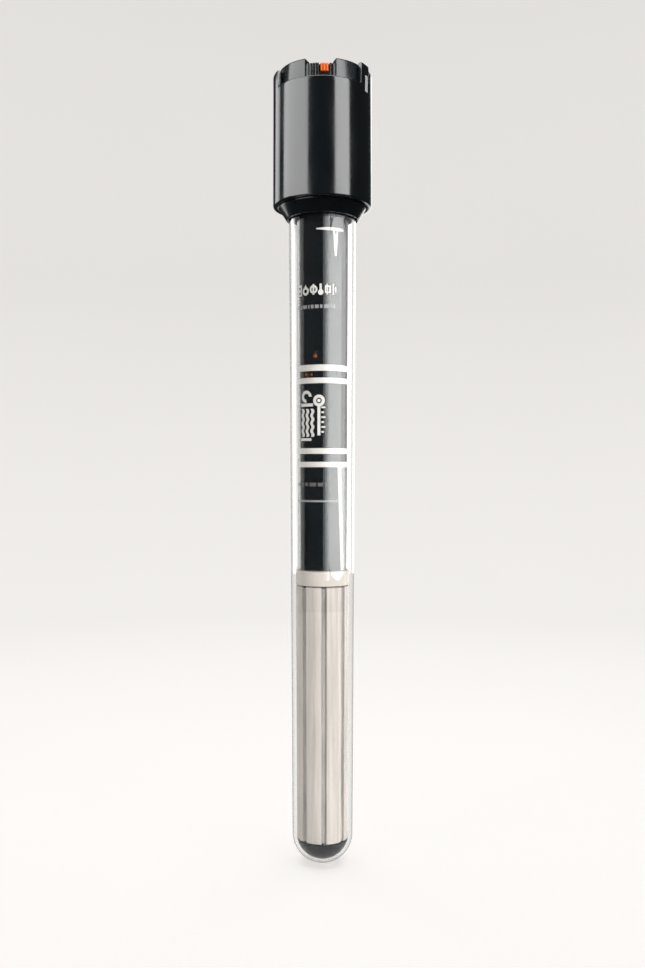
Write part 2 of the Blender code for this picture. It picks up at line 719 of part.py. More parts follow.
def lead(name, side, colour):
    """Conductor from the cord inlet, down through the bung to its terminal."""
    knots = [(side * 3.6, 9.0, INLET_Z), (side * 4.6, 6.4, 52.0), (side * LEAD_X, 3.4, 50.2),
             (side * LEAD_X, LEAD_Y, 47.8), (side * LEAD_X, LEAD_Y, 41.0),
             (side * LEAD_X, LEAD_Y, 35.0), (side * 4.5, 1.4, 32.6), (side * 4.2, 1.1, 30.0),
             (side * 4.2, 1.1, 27.0)]
    wire(name, smooth_path(knots, 4), LEAD_R, insulation(name, colour))


def label_sleeve():
    inner = SLEEVE_R - SLEEVE_WALL
    outline = [(inner, SLEEVE_BOTTOM), (SLEEVE_R, SLEEVE_BOTTOM), (SLEEVE_R, SLEEVE_TOP),
               (inner, SLEEVE_TOP)]
    sleeve = place("label_sleeve", turned_mesh("label_sleeve", outline),
                   material("label_sleeve", (0.009, 0.012, 0.014), 0.3))
    for azimuth, height in WINDOWS:
        hole = cylinder_mesh("window", 0.7, 5.0, 9.0)
        turn = Matrix.Rotation(radians(azimuth), 4, "Z") @ Matrix.Rotation(pi / 2, 4, "X")
        hole.transform(Matrix.Translation((0.0, 0.0, height)) @ turn)
        cut(sleeve, hole)


# ---- heating core ---------------------------------------------------------

def tail_holes(piece, low, high):
    for azimuth in TAIL_AZIMUTHS:
        hole = cylinder_mesh("tail_hole", TAIL_HOLE_R, low, high)
        cut(piece, shifted(hole, *polar(TAIL_PATH_R, azimuth)))


def mica_disc():
    outline = [(CORE_BORE_R, MICA_UNDER), (SPIGOT_R, MICA_UNDER), (SPIGOT_R, MICA_TOP),
               (CORE_BORE_R, MICA_TOP)]
    disc = place("mica_disc", turned_mesh("mica_disc", outline),
                 insulation("mica_disc", (0.62, 0.56, 0.42)))
    tail_holes(disc, MICA_UNDER - 1.0, MICA_TOP + 1.0)


def ceramic_ring():
    outline = [
        (CORE_BORE_R, RING_BOTTOM), (GROOVE_FLOOR_R, RING_BOTTOM),
        (GROOVE_FLOOR_R, RING_BOTTOM + RECESS_DEPTH),
        (RECESS_OUTER_R, RING_BOTTOM + RECESS_DEPTH),
        (RECESS_OUTER_R, RING_BOTTOM), (CORE_R, RING_BOTTOM), (CORE_R, RING_SHOULDER - 0.2),
        (CORE_R - 0.2, RING_SHOULDER), (SPIGOT_R, RING_SHOULDER), (SPIGOT_R, RING_TOP),
        (CORE_BORE_R, RING_TOP),
    ]
    ring = place("ceramic_ring", turned_mesh("ceramic_ring", outline), ceramic("ceramic_ring"))
    tail_holes(ring, RING_BOTTOM - 1.0, RING_TOP + 1.0)


def core_outline():
    """A circle with eight square grooves."""
    half_wall = degrees(asin(GROOVE_WIDTH / 2 / CORE_R))
    half_floor = degrees(asin(GROOVE_WIDTH / 2 / GROOVE_FLOOR_R))
    arc_steps = 4
    points = []
    for groove in range(GROOVES):
        middle = GROOVE_FIRST + GROOVE_STEP * groove
        points += [polar(GROOVE_FLOOR_R, middle - half_floor),
                   polar(GROOVE_FLOOR_R, middle + half_floor)]
        sweep = GROOVE_STEP - 2 * half_wall
        points += [polar(CORE_R, middle + half_wall + sweep * i / arc_steps)
                   for i in range(arc_steps + 1)]
    return points


def ceramic_core():
    core = place("ceramic_core", prism_mesh("ceramic_core", core_outline(), CORE_BOTTOM, CORE_TOP),
                 ceramic("ceramic_core"))
    cut(core, cylinder_mesh("bore", CORE_BORE_R, CORE_BOTTOM - 1.0, CORE_TOP + 1.0))


def coil_bend(first, second, height, rise):
    """The coil's turn from one groove's end to the next."""
    steps = 6
    points = []
    for i in range(1, steps):
        t = pi * i / steps
        azimuth = first + (second - first) * (1 - cos(t)) / 2
        points.append(polar(COIL_PATH_R, azimuth, height + rise * sin(t)))
    return points


def heating_coil():
    """The resistance coil's envelope: down one groove and up the next, eight times."""
    first, last = TAIL_AZIMUTHS
    top, bottom = CORE_TOP + 0.15, CORE_BOTTOM - 0.15
    tail = [(TAIL_PATH_R, TAIL_END), (TAIL_PATH_R, -73.0), (TAIL_PATH_R, -76.6),
            (TAIL_PATH_R + 0.45, -77.1), (COIL_PATH_R - 0.25, -77.8), (COIL_PATH_R, -78.4),
            (COIL_PATH_R, -79.2)]
    points = [polar(r, first, z) for r, z in tail]
    for groove in range(GROOVES):
        azimuth = first + GROOVE_STEP * groove
        down = groove % 2 == 0
        ends = (top, bottom) if down else (bottom, top)
        if groove > 0:
            points.append(polar(COIL_PATH_R, azimuth, ends[0]))
        if groove < GROOVES - 1:
            points.append(polar(COIL_PATH_R, azimuth, ends[1]))
            rise = -COIL_END_RISE if down else COIL_END_RISE
            points += coil_bend(azimuth, azimuth + GROOVE_STEP, ends[1], rise)
    points += [polar(r, last, z) for r, z in reversed(tail)]
    wire("heating_coil", points, COIL_R, material("heating_coil", (0.4, 0.36, 0.33), 0.45, 0.8))


def coil_crimp(name, azimuth):
    outline = [(0.78, -70.4), (1.1, -70.4), (1.1, -65.6), (0.78, -65.6)]
    place(name, turned_mesh(name, outline, SMALL), brass(name), polar(TAIL_PATH_R, azimuth, 0.0))


def feed_wires():
    """Straight run to the bimetal's rivet, and a long run behind the board to the neutral side."""
    start = polar(TAIL_PATH_R, TAIL_AZIMUTHS[0], -67.7)
    wire("feed_wire_live", [start, (*start[:2], -45.0)], COIL_R,
         insulation("feed_wire_live", (0.3, 0.1, 0.05)))
    start = polar(TAIL_PATH_R, TAIL_AZIMUTHS[1], -67.7)
    bend = [start, (*start[:2], -64.5), (3.6, 4.9, -62.0), (3.2, 5.4, -59.5), (3.2, 5.4, -57.0)]
    wire("feed_wire_neutral", smooth_path(bend, 4) + [(3.2, 5.4, 29.0)], COIL_R,
         insulation("feed_wire_neutral", (0.05, 0.12, 0.4)))


def rubber_cushion():
    """A soft seat between the ceramic core and the tube's round end."""
    radius = BORE_R - GAP
    depth = CUSHION_TOP - RECESS_DEPTH
    lip_r = sqrt(radius ** 2 - (DOME_Z - CUSHION_TOP) ** 2)
    start = -degrees(asin((DOME_Z - CUSHION_TOP) / radius))
    outline = [(0, CUSHION_TOP), (GROOVE_FLOOR_R - 0.1, CUSHION_TOP), (GROOVE_FLOOR_R - 0.1, depth),
               (RECESS_OUTER_R, depth), (RECESS_OUTER_R, CUSHION_TOP), (lip_r, CUSHION_TOP)]
    outline += arc(radius, DOME_Z, start, -90, 6)[1:]
    place("rubber_cushion", turned_mesh("rubber_cushion", outline),
          black_rubber("rubber_cushion"))


def joint_axis(name, y=0.0, z=0.0):
    """An empty on a joint's axis, the parent of what moves with it."""
    empty = bpy.data.objects.new(name, None)
    bpy.context.scene.collection.objects.link(empty)
    empty.empty_display_size = 0.01
    empty.location = Vector((0.0, y, z)) * MM
    return empty


def build():
    clear_scene()
    cap_shell()
    clamp_ring()
    glass_tube()
    tube_o_ring()
    seal_bung()
    cord_gland()
    cord_grommet()
    spindle_bush()
    spindle_o_ring()
    friction_washer()

    dial_axis = joint_axis("dial_axis")
    for make in (temperature_dial, dial_pointer, dial_cover, dial_screw, dial_spindle,
                 spindle_circlip):
        make(dial_axis)

    adjuster_nut(joint_axis("adjuster_axis"))
    adjuster_guide()
    lever_bracket()
    lever_pin()
    lever_axis = joint_axis("lever_axis", PIVOT_Y, PIVOT_Z)
    set_lever(lever_axis)
    fixed_contact(lever_axis)

    circuit_board()
    bimetal_post()
    bimetal_rivet()
    bimetal_axis = joint_axis("bimetal_axis", BIMETAL_Y, BIMETAL_Z)
    for make in (bimetal_strip, moving_contact, armature_plate):
        make(bimetal_axis)
    snap_magnet()
    neon_lamp()
    neon_resistor()
    suppression_capacitor()
    terminal("live_terminal", 1)
    terminal("neutral_terminal", -1)
    lead("live_lead", 1, (0.25, 0.08, 0.03))
    lead("neutral_lead", -1, (0.03, 0.1, 0.4))

    label_sleeve()
    mica_disc()
    ceramic_ring()
    ceramic_core()
    heating_coil()
    coil_crimp("coil_crimp_live", TAIL_AZIMUTHS[0])
    coil_crimp("coil_crimp_neutral", TAIL_AZIMUTHS[1])
    feed_wires()
    rubber_cushion()


build()
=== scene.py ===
"""Looks of the submersible aquarium heater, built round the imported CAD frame.

The frame is in metres with the heater's axis on +Z and its printed front on -Y.
Lengths in this file are millimetres unless a name says otherwise, and azimuths are
degrees from the front, positive towards +X.
"""

from math import asin, atan2, cos, degrees, pi, radians, sin, sqrt, tan, tau

import bmesh
import bpy
import numpy as np
from mathutils import Matrix, Vector


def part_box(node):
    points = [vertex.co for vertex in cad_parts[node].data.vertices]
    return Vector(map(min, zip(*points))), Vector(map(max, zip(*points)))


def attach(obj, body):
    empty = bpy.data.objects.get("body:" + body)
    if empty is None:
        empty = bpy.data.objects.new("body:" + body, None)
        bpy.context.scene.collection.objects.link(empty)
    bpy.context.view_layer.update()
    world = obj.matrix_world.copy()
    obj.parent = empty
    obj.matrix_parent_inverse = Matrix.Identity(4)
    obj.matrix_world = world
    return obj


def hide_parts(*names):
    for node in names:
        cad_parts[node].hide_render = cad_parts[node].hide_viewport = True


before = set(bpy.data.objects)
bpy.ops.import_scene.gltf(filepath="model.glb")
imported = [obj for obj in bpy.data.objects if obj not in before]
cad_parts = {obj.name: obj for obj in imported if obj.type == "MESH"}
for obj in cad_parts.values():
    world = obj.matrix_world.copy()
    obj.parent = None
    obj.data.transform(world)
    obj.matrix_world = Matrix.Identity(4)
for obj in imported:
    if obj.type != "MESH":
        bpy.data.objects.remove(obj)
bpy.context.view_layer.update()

MM = 0.001

# ---- camera and studio ----------------------------------------------------

EYE_DISTANCE = 300.0
EYE_HEIGHT = -42.0
LENS_TILT = 10.0                  # degrees that the lens looks down, which narrows the tube's end
FRAME_MIDDLE = -46.5              # height on the axis that is centred in the frame
LENS = 35.0
SENSOR = 36.0
LIGHT_DISTANCE = 600.0
WORLD_LEVEL = 0.03
ROOM_LIGHT = 0.85
ROOM_LIGHT_HEIGHT = 1500.0
FLOOR_COLOUR = (0.74, 0.72, 0.70)
FLOOR_GLOW = 0.84


def add_camera():
    """The lens looks down a little, and a shift brings the heater back to the middle."""
    data = bpy.data.cameras.new("camera")
    data.sensor_width = SENSOR
    data.lens = LENS
    rise = atan2(FRAME_MIDDLE - EYE_HEIGHT, EYE_DISTANCE) + radians(LENS_TILT)
    data.shift_y = tan(rise) * LENS / SENSOR
    data.clip_start = 0.01
    data.clip_end = 20.0
    camera = bpy.data.objects.new("camera", data)
    camera.location = Vector((0.0, -EYE_DISTANCE, EYE_HEIGHT)) * MM
    camera.rotation_euler = (radians(90.0 - LENS_TILT), 0.0, 0.0)
    bpy.context.scene.collection.objects.link(camera)
    bpy.context.scene.camera = camera


def softbox(name, azimuth, height, width, tall, radiance, distance=LIGHT_DISTANCE,
            aim_height=None):
    """A rectangular light facing the heater. Radiance is what a mirror would show of it."""
    data = bpy.data.lights.new(name, "AREA")
    data.shape = "RECTANGLE"
    data.size, data.size_y = width * MM, tall * MM
    data.energy = radiance * pi * data.size * data.size_y
    light = bpy.data.objects.new(name, data)
    light.location = Vector(polar(distance, azimuth, height)) * MM
    aim = Vector((0.0, 0.0, height if aim_height is None else aim_height)) * MM
    light.rotation_euler = (aim - light.location).to_track_quat("-Z", "Y").to_euler()
    bpy.context.scene.collection.objects.link(light)
    return light


def polar(radius, azimuth, z=None):
    a = radians(azimuth)
    point = (radius * sin(a), -radius * cos(a))
    return point if z is None else (*point, z)


add_camera()

# ---- sizes, read from the CAD where it has them ---------------------------

TUBE_LOW, TUBE_HIGH = (Vector(corner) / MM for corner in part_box("glass_tube"))
TUBE_R = round(TUBE_HIGH.x, 3)
TUBE_BOTTOM = TUBE_LOW.z
TUBE_TOP = TUBE_HIGH.z
TUBE_WALL = 1.0
BORE_R = TUBE_R - TUBE_WALL
DOME_Z = TUBE_BOTTOM + TUBE_R

CAP_R_LOW = 14.75
CAP_R_HIGH = 14.4
CAP_BOTTOM = 35.0
CAP_RIM = 66.5
GUARD_TOP = CAP_RIM + 4.2
POST_TOP = CAP_RIM + 5.3
CAP_STEP = (13.3, CAP_BOTTOM + 0.9)
CAP_BORE_R = 12.65
SEAT_R, SEAT_LOW, SEAT_HIGH = 10.35, 42.0, 47.6    # shoulder that the tube's seal sits in
DECK_BOTTOM, DECK_TOP = 58.0, 60.5
BUSH_HOLE_R = 4.9
WELL_R = 13.05
FRONT_WINDOW = (-63.0, 50.0)
REAR_WINDOW = (117.0, 243.0)
POST_SPAN = (50.5, 67.0)

DIAL_BOTTOM = 62.2
DIAL_TOP = 70.4
DIAL_R = 12.25
LUG_TOP = 71.7
LUG_R = 12.75
LUG_SWEEP = 50.0
LUG_START = 17.5
LUG_INNER_R = 9.5
RIB_PITCH = 3.75
RIB_TIP_R = 12.65
POINTER_AZIMUTH = 2.5
POINTER_HALF = 5.625
POINTER_SLOT_HALF = POINTER_HALF + 1.4

INLET_Z = 52.8
SLEEVE_R = 7.8
SLEEVE_WALL = 0.3
SLEEVE_TOP = 34.7
SLEEVE_BOTTOM = -73.1
NEON_WINDOWS = ((-14.7, -8.5), (-34.0, -13.2))

CORE_R = 8.5
CORE_BORE_R = 1.8
CORE_TOP = -78.3
CORE_BOTTOM = -163.0
GROOVES = 8
GROOVE_FIRST = 3.0
GROOVE_STEP = 45.0
GROOVE_WIDTH = 1.5
GROOVE_FLOOR_R = 6.3
COIL_PATH_R = 7.1
COIL_R = 0.45
COIL_PITCH = 0.5
COIL_WIRE_R = 0.11
TAIL_AZIMUTHS = (183.0, 138.0)
TAIL_PATH_R = 5.8
RECESS_OUTER_R = 7.85
RECESS_DEPTH = 1.6
SPIGOT_R = 7.15
RING_BOTTOM = -78.0
RING_SHOULDER = -73.4
RING_TOP = -72.2


# ---- finishes -------------------------------------------------------------

class Finish:
    """A Principled material with short calls for the textures that break it up."""

    def __init__(self, name, colour, roughness, metallic=0.0):
        self.material = bpy.data.materials.new(name)
        self.material.use_nodes = True
        self.tree = self.material.node_tree
        self.shader = self.tree.nodes["Principled BSDF"]
        self.set("Base Color", (*colour, 1.0))
        self.set("Roughness", roughness)
        self.set("Metallic", metallic)
        self.place = self.tree.nodes.new("ShaderNodeTexCoord").outputs["Object"]
        self.last_normal = None

    def set(self, socket, value):
        self.shader.inputs[socket].default_value = value
        return self

    def link(self, out, socket):
        self.tree.links.new(out, socket)

    def stretched(self, scale):
        mapping = self.tree.nodes.new("ShaderNodeMapping")
        mapping.inputs["Scale"].default_value = scale
        self.link(self.place, mapping.inputs["Vector"])
        return mapping.outputs["Vector"]

    def noise(self, scale, stretch=(1.0, 1.0, 1.0), detail=4.0, rough=0.55):
        """Noise whose features are about 1 / scale metres across before the stretch."""
        noise = self.tree.nodes.new("ShaderNodeTexNoise")
        noise.inputs["Scale"].default_value = scale
        noise.inputs["Detail"].default_value = detail
        noise.inputs["Roughness"].default_value = rough
        self.link(self.stretched(stretch), noise.inputs["Vector"])
        return noise.outputs["Fac"]

    def cells(self, scale, stretch=(1.0, 1.0, 1.0)):
        cells = self.tree.nodes.new("ShaderNodeTexVoronoi")
        cells.inputs["Scale"].default_value = scale
        self.link(self.stretched(stretch), cells.inputs["Vector"])
        return cells.outputs["Distance"]

    def stripes(self, scale, direction="Z", distortion=0.0):
        wave = self.tree.nodes.new("ShaderNodeTexWave")
        wave.bands_direction = direction
        wave.inputs["Scale"].default_value = scale
        wave.inputs["Distortion"].default_value = distortion
        self.link(self.place, wave.inputs["Vector"])
        return wave.outputs["Fac"]

    def ramp(self, fac, stops):
        ramp = self.tree.nodes.new("ShaderNodeValToRGB")
        elements = ramp.color_ramp.elements
        while len(elements) < len(stops):
            elements.new(0.5)
        for element, (position, colour) in zip(elements, stops):
            element.position = position
            element.color = (*colour, 1.0) if isinstance(colour, tuple) else (colour,) * 3 + (1.0,)
        self.link(fac, ramp.inputs["Fac"])
        return ramp.outputs["Color"]

    def multiply(self, a, b):
        mix = self.tree.nodes.new("ShaderNodeMix")
        mix.data_type = "RGBA"
        mix.blend_type = "MULTIPLY"
        mix.inputs["Factor"].default_value = 1.0
        self.link(a, mix.inputs["A"])
        self.link(b, mix.inputs["B"])
        return mix.outputs["Result"]

    def colour(self, out):
        self.link(out, self.shader.inputs["Base Color"])
        return self

    def roughness(self, fac, low, high, start=0.3, end=0.7):
        self.link(self.ramp(fac, [(start, low), (end, high)]), self.shader.inputs["Roughness"])
        return self

    def bump(self, height, depth, strength=1.0):
        """Raise the surface by up to depth millimetres."""
        bump = self.tree.nodes.new("ShaderNodeBump")
        bump.inputs["Strength"].default_value = strength
        bump.inputs["Distance"].default_value = depth * MM
        self.link(height, bump.inputs["Height"])
        if self.last_normal is not None:
            self.link(self.last_normal, bump.inputs["Normal"])
        self.last_normal = bump.outputs["Normal"]
        self.link(self.last_normal, self.shader.inputs["Normal"])
        return self


def shade(colour, factor):
    return tuple(min(1.0, c * factor) for c in colour)


def tinted(finish, colour, fac, spread=0.15):
    """Let the colour wander a little, darker and lighter, along a texture."""
    finish.colour(finish.ramp(fac, [(0.3, shade(colour, 1.0 - spread)),
                                    (0.7, shade(colour, 1.0 + spread))]))
    return finish


def scratches(finish, depth, stretch=(1.0, 1.0, 0.05)):
    """Sparse hairline scratches along the axis."""
    lines = finish.ramp(finish.noise(900.0, stretch, 6.0, 0.7), [(0.60, 0.0), (0.66, 1.0)])
    finish.bump(lines, depth, 0.5)
    return finish


def glossy_plastic(name, colour, rough=0.16, coat=1.0):
    f = Finish(name, colour, rough)
    tinted(f, colour, f.noise(70.0), 0.2)
    f.roughness(f.noise(260.0, (1.0, 1.0, 0.35), 5.0), rough * 0.75, rough * 1.5)
    f.bump(f.noise(420.0, detail=2.0), 0.006)
    scratches(f, 0.002)
    f.set("Coat Weight", coat).set("Coat Roughness", rough * 0.8)
    return f.material


def satin_plastic(name, colour, rough=0.35):
    f = Finish(name, colour, rough)
    tinted(f, colour, f.noise(90.0), 0.15)
    f.roughness(f.noise(500.0), rough * 0.8, rough * 1.3)
    f.bump(f.noise(1500.0, detail=3.0), 0.01)
    return f.material


def rubber(name, colour=(0.007, 0.009, 0.012), rough=0.55):
    f = Finish(name, colour, rough)
    tinted(f, colour, f.noise(150.0), 0.3)
    f.roughness(f.noise(700.0), rough * 0.8, rough * 1.25)
    f.bump(f.noise(1100.0, detail=5.0, rough=0.7), 0.03)
    f.set("Specular IOR Level", 0.25)
    return f.material


def metal(name, colour, rough, grain=(1.0, 1.0, 0.1), tarnish=0.2):
    f = Finish(name, colour, rough, 1.0)
    tinted(f, colour, f.noise(220.0, detail=6.0), tarnish)
    f.roughness(f.noise(800.0, grain, 5.0), rough * 0.7, rough * 1.6)
    f.bump(f.noise(1400.0, grain, 3.0), 0.006)
    return f.material


def ceramic(name, streak_depth=0.0):
    """Unglazed cream ceramic with pores, and soot-grey streaks where it was fired in a bundle."""
    base = (0.575, 0.525, 0.485)
    f = Finish(name, base, 0.6)
    body = f.ramp(f.noise(120.0, (1.0, 1.0, 0.25), 6.0),
                  [(0.3, shade(base, 0.93)), (0.7, shade(base, 1.06))])
    pores = f.ramp(f.cells(1500.0), [(0.05, 0.8), (0.16, 1.0)])
    tone = f.multiply(body, pores)
    if streak_depth:
        streaks = f.ramp(f.noise(650.0, (1.0, 1.0, 0.035), 6.0, 0.65),
                         [(0.38, 1.0 - streak_depth), (0.56, 1.0)])
        tone = f.multiply(tone, streaks)
    f.colour(tone)
    f.roughness(f.noise(600.0), 0.5, 0.75)
    f.bump(f.noise(1300.0, detail=6.0, rough=0.7), 0.02)
    return f.material


def cement(name):
    """Porous grey-cream cement in long darker and lighter patches. Its dark tone, well below the
    ceramic's, is painted shade for the grooves over the coil.
    """
    # dark base: painted shade for the grooves
    base = (0.33, 0.31, 0.295)
    f = Finish(name, base, 0.7)
    stain = f.ramp(f.noise(240.0, (1.0, 1.0, 0.12), 6.0, 0.7),
                   [(0.32, (0.21, 0.205, 0.205)), (0.5, base), (0.68, (0.46, 0.425, 0.39))])
    pores = f.ramp(f.cells(1900.0, stretch=(1.0, 1.0, 0.5)), [(0.08, 0.62), (0.3, 1.0)])
    f.colour(f.multiply(stain, pores))
    f.roughness(f.noise(700.0), 0.6, 0.85)
    f.bump(f.noise(1500.0, detail=6.0, rough=0.75), 0.05)
    return f.material


def resistance_wire(name):
    """Nickel-chrome that has gone grey, straw and blue in patches."""
    f = Finish(name, (0.66, 0.63, 0.59), 0.45, 0.4)
    f.colour(f.ramp(f.noise(180.0, (1.0, 1.0, 0.4), 5.0),
                    [(0.25, (0.46, 0.48, 0.51)), (0.5, (0.68, 0.66, 0.63)),
                     (0.75, (0.76, 0.70, 0.61))]))
    f.roughness(f.noise(900.0), 0.3, 0.6)
    f.bump(f.noise(4000.0, detail=2.0), 0.01)
    return f.material


def clear_glass(name, tint=(0.985, 0.992, 0.985)):
    f = Finish(name, tint, 0.0)
    f.set("IOR", 1.47).set("Transmission Weight", 1.0).set("Roughness", 0.0)
    f.bump(f.noise(45.0, (1.0, 1.0, 0.3), 2.0), 0.02, 0.25)
    return f.material


def sleeve_film(name):
    """Printed black shrink film: glossy, with faint lengthways ripples."""
    base = (0.0055, 0.0072, 0.0085)
    f = Finish(name, base, 0.14)
    tinted(f, base, f.noise(80.0), 0.25)
    f.roughness(f.noise(300.0, (1.0, 1.0, 0.3), 4.0), 0.11, 0.18)
    f.bump(f.noise(260.0, (1.0, 1.0, 0.15), 2.0), 0.006)
    f.set("Coat Weight", 0.8).set("Coat Roughness", 0.15)
    return f.material


def printed_ink(name, colour, wear=0.12):
    f = Finish(name, colour, 0.4)
    f.colour(f.ramp(f.noise(1800.0, detail=5.0, rough=0.7),
                    [(0.28, shade(colour, 1.0 - 2 * wear)), (0.42, colour),
                     (0.8, shade(colour, 1.04))]))
    f.roughness(f.noise(900.0), 0.32, 0.5)
    f.bump(f.noise(2500.0), 0.008)
    f.set("Specular IOR Level", 0.2)
    return f.material


def laminate(name):
    """Brown paper laminate with a woven look."""
    f = Finish(name, (0.36, 0.22, 0.09), 0.45)
    weave = f.multiply(f.ramp(f.stripes(620.0, "X", 1.0), [(0.0, 0.85), (1.0, 1.0)]),
                       f.ramp(f.stripes(620.0, "Z", 1.0), [(0.0, 0.85), (1.0, 1.0)]))
    tone = f.ramp(f.noise(160.0), [(0.3, (0.31, 0.18, 0.07)), (0.7, (0.42, 0.26, 0.11))])
    f.colour(f.multiply(tone, weave))
    f.roughness(f.noise(700.0), 0.35, 0.55)
    f.bump(weave, 0.01)
    return f.material


def mica(name):
    f = Finish(name, (0.55, 0.48, 0.34), 0.25)
    f.colour(f.ramp(f.cells(420.0), [(0.1, (0.62, 0.55, 0.4)), (0.7, (0.42, 0.35, 0.23))]))
    f.roughness(f.noise(300.0), 0.15, 0.4)
    f.bump(f.noise(600.0, (1.0, 1.0, 6.0), 5.0), 0.02)
    return f.material


def insulation(name, colour):
    """Soft cable insulation with fine lengthways lines from the extruder."""
    f = Finish(name, colour, 0.4)
    tinted(f, colour, f.noise(120.0), 0.2)
    f.roughness(f.noise(500.0), 0.32, 0.5)
    f.bump(f.noise(1600.0, (1.0, 1.0, 0.05)), 0.008)
    return f.material


def resistor_body(name):
    """A tan body with coloured bands across it."""
    f = Finish(name, (0.55, 0.42, 0.25), 0.35)
    tan, red, violet, gold = (0.6, 0.45, 0.27), (0.5, 0.03, 0.02), (0.2, 0.03, 0.3), (0.6, 0.4, 0.08)
    split = f.tree.nodes.new("ShaderNodeSeparateXYZ")
    f.link(f.place, split.inputs[0])
    span = f.tree.nodes.new("ShaderNodeMapRange")
    span.inputs["From Min"].default_value = -0.030
    span.inputs["From Max"].default_value = -0.024
    f.link(split.outputs["Z"], span.inputs["Value"])
    bands = f.ramp(span.outputs["Result"],
                   [(0.0, tan), (0.2, red), (0.28, tan), (0.4, violet), (0.48, tan), (0.6, red),
                    (0.68, tan), (0.82, gold), (0.9, tan)])
    bands.node.color_ramp.interpolation = "CONSTANT"
    f.colour(f.multiply(bands, f.ramp(f.noise(800.0), [(0.3, 0.85), (0.7, 1.0)])))
    f.bump(f.noise(1500.0), 0.01)
    return f.material


def neon_glass(name, level=1.0):
    """A glowing neon indicator: brighter in patches, as the gas is."""
    f = Finish(name, (0.9, 0.3, 0.08), 0.12)
    glow = f.ramp(f.noise(450.0, detail=2.0), [(0.3, shade((0.75, 0.12, 0.015), level)),
                                               (0.7, shade((1.0, 0.30, 0.05), level))])
    f.link(glow, f.shader.inputs["Emission Color"])
    f.set("Emission Strength", 0.35)
    f.colour(glow)
    f.bump(f.noise(300.0), 0.02)
    return f.material


def backdrop_paint(name, only_straight=False):
    """Pale paint with an even glow, so that the wall isn't much darker than the floor.

    With only_straight, light that has bounced off the heater or inside the glass sees it black.
    """
    f = Finish(name, FLOOR_COLOUR, 0.7)
    tinted(f, FLOOR_COLOUR, f.noise(6.0), 0.015)
    f.bump(f.noise(900.0, detail=3.0), 0.02, 0.3)
    f.set("Specular IOR Level", 0.2)
    f.set("Emission Color", (*FLOOR_COLOUR, 1.0))
    f.set("Emission Strength", FLOOR_GLOW)
    f.material.cycles.emission_sampling = "NONE"
    if only_straight:
        show_before_bounces(f)
    return f.material


def show_before_bounces(finish):
    """Keep a front wall's reflection out of the black sleeve inside the glass.

    Seen from the side or from behind, it also leaves black lines on the glass edges.
    """
    tree = finish.tree
    path = tree.nodes.new("ShaderNodeLightPath")
    bounces = tree.nodes.new("ShaderNodeMath")
    tree.links.new(path.outputs["Diffuse Depth"], bounces.inputs[0])
    tree.links.new(path.outputs["Glossy Depth"], bounces.inputs[1])
    none_yet = tree.nodes.new("ShaderNodeMath")
    none_yet.operation = "LESS_THAN"
    none_yet.inputs[1].default_value = 0.5
    tree.links.new(bounces.outputs[0], none_yet.inputs[0])
    blend = tree.nodes.new("ShaderNodeMixShader")
    tree.links.new(none_yet.outputs[0], blend.inputs[0])
    tree.links.new(finish.shader.outputs[0], blend.inputs[2])
    output = next(node for node in tree.nodes if node.type == "OUTPUT_MATERIAL")
    tree.links.new(blend.outputs[0], output.inputs["Surface"])


# ---- mesh building --------------------------------------------------------

def grid_mesh(loops, closed_round=True, closed_loop=True, sharp=32.0):
    """Skin a list of point loops. Ends of an open sweep of closed loops are filled."""
    points = np.asarray(loops, float)
    rows, count = points.shape[:2]
    mesh = bpy.data.meshes.new("mesh")
    bm = bmesh.new()
    verts = [bm.verts.new(p) for p in (points.reshape(-1, 3) * MM)]
    last_row = rows if closed_round else rows - 1
    last_col = count if closed_loop else count - 1
    for i in range(last_row):
        here, there = i * count, ((i + 1) % rows) * count
        for j in range(last_col):
            k = (j + 1) % count
            bm.faces.new((verts[here + j], verts[here + k], verts[there + k], verts[there + j]))
    if not closed_round and closed_loop:
        bm.faces.new(verts[:count])
        bm.faces.new(verts[-count:])
    bmesh.ops.remove_doubles(bm, verts=bm.verts, dist=2e-7)
    bmesh.ops.dissolve_degenerate(bm, edges=bm.edges, dist=1e-8)
    bmesh.ops.recalc_face_normals(bm, faces=bm.faces)
    bm.to_mesh(mesh)
    bm.free()
    mesh.shade_smooth()
    mesh.set_sharp_from_angle(angle=radians(sharp))
    return mesh


def rounded(outline, radii, steps=4, closed=True):
    """Replace the corners of an outline by small curves. radii is one value or one for each."""
    count = len(outline)
    sizes = [radii] * count if isinstance(radii, (int, float)) else radii
    result = []
    for i, (corner, size) in enumerate(zip(outline, sizes)):
        ends = not closed and i in (0, count - 1)
        point = np.array(corner, float)
        before = np.array(outline[i - 1], float) - point
        after = np.array(outline[(i + 1) % count], float) - point
        lengths = [np.linalg.norm(side) for side in (before, after)]
        reach = min(size, 0.49 * lengths[0], 0.49 * lengths[1])
        if ends or size <= 0.0 or reach < 1e-6:
            result += [tuple(point)] * (1 if ends or size <= 0.0 else steps + 1)
            continue
        start = point + before / lengths[0] * reach
        stop = point + after / lengths[1] * reach
        for k in range(steps + 1):
            t = k / steps
            result.append(tuple((1 - t) ** 2 * start + 2 * t * (1 - t) * point + t * t * stop))
    return result


def lathe_mesh(outline, segments=160, closed=True, sharp=32.0):
    """Spin an outline of (radius, height) points. An open outline runs from axis to axis."""
    loops = [[polar(r, 360.0 * i / segments, z) for r, z in outline] for i in range(segments)]
    return grid_mesh(loops, True, closed, sharp)


def sweep_mesh(profile, azimuths, closed_round=True, sharp=32.0):
    """Carry a closed profile, a function of azimuth, round the axis."""
    loops = [[polar(r, a, z) for r, z in profile(a)] for a in azimuths]
    return grid_mesh(loops, closed_round, True, sharp)


def arc(radius, centre_z, start, end, steps):
    angles = [radians(start + (end - start) * i / steps) for i in range(steps + 1)]
    return [(max(0.0, radius * cos(a)), centre_z + radius * sin(a)) for a in angles]


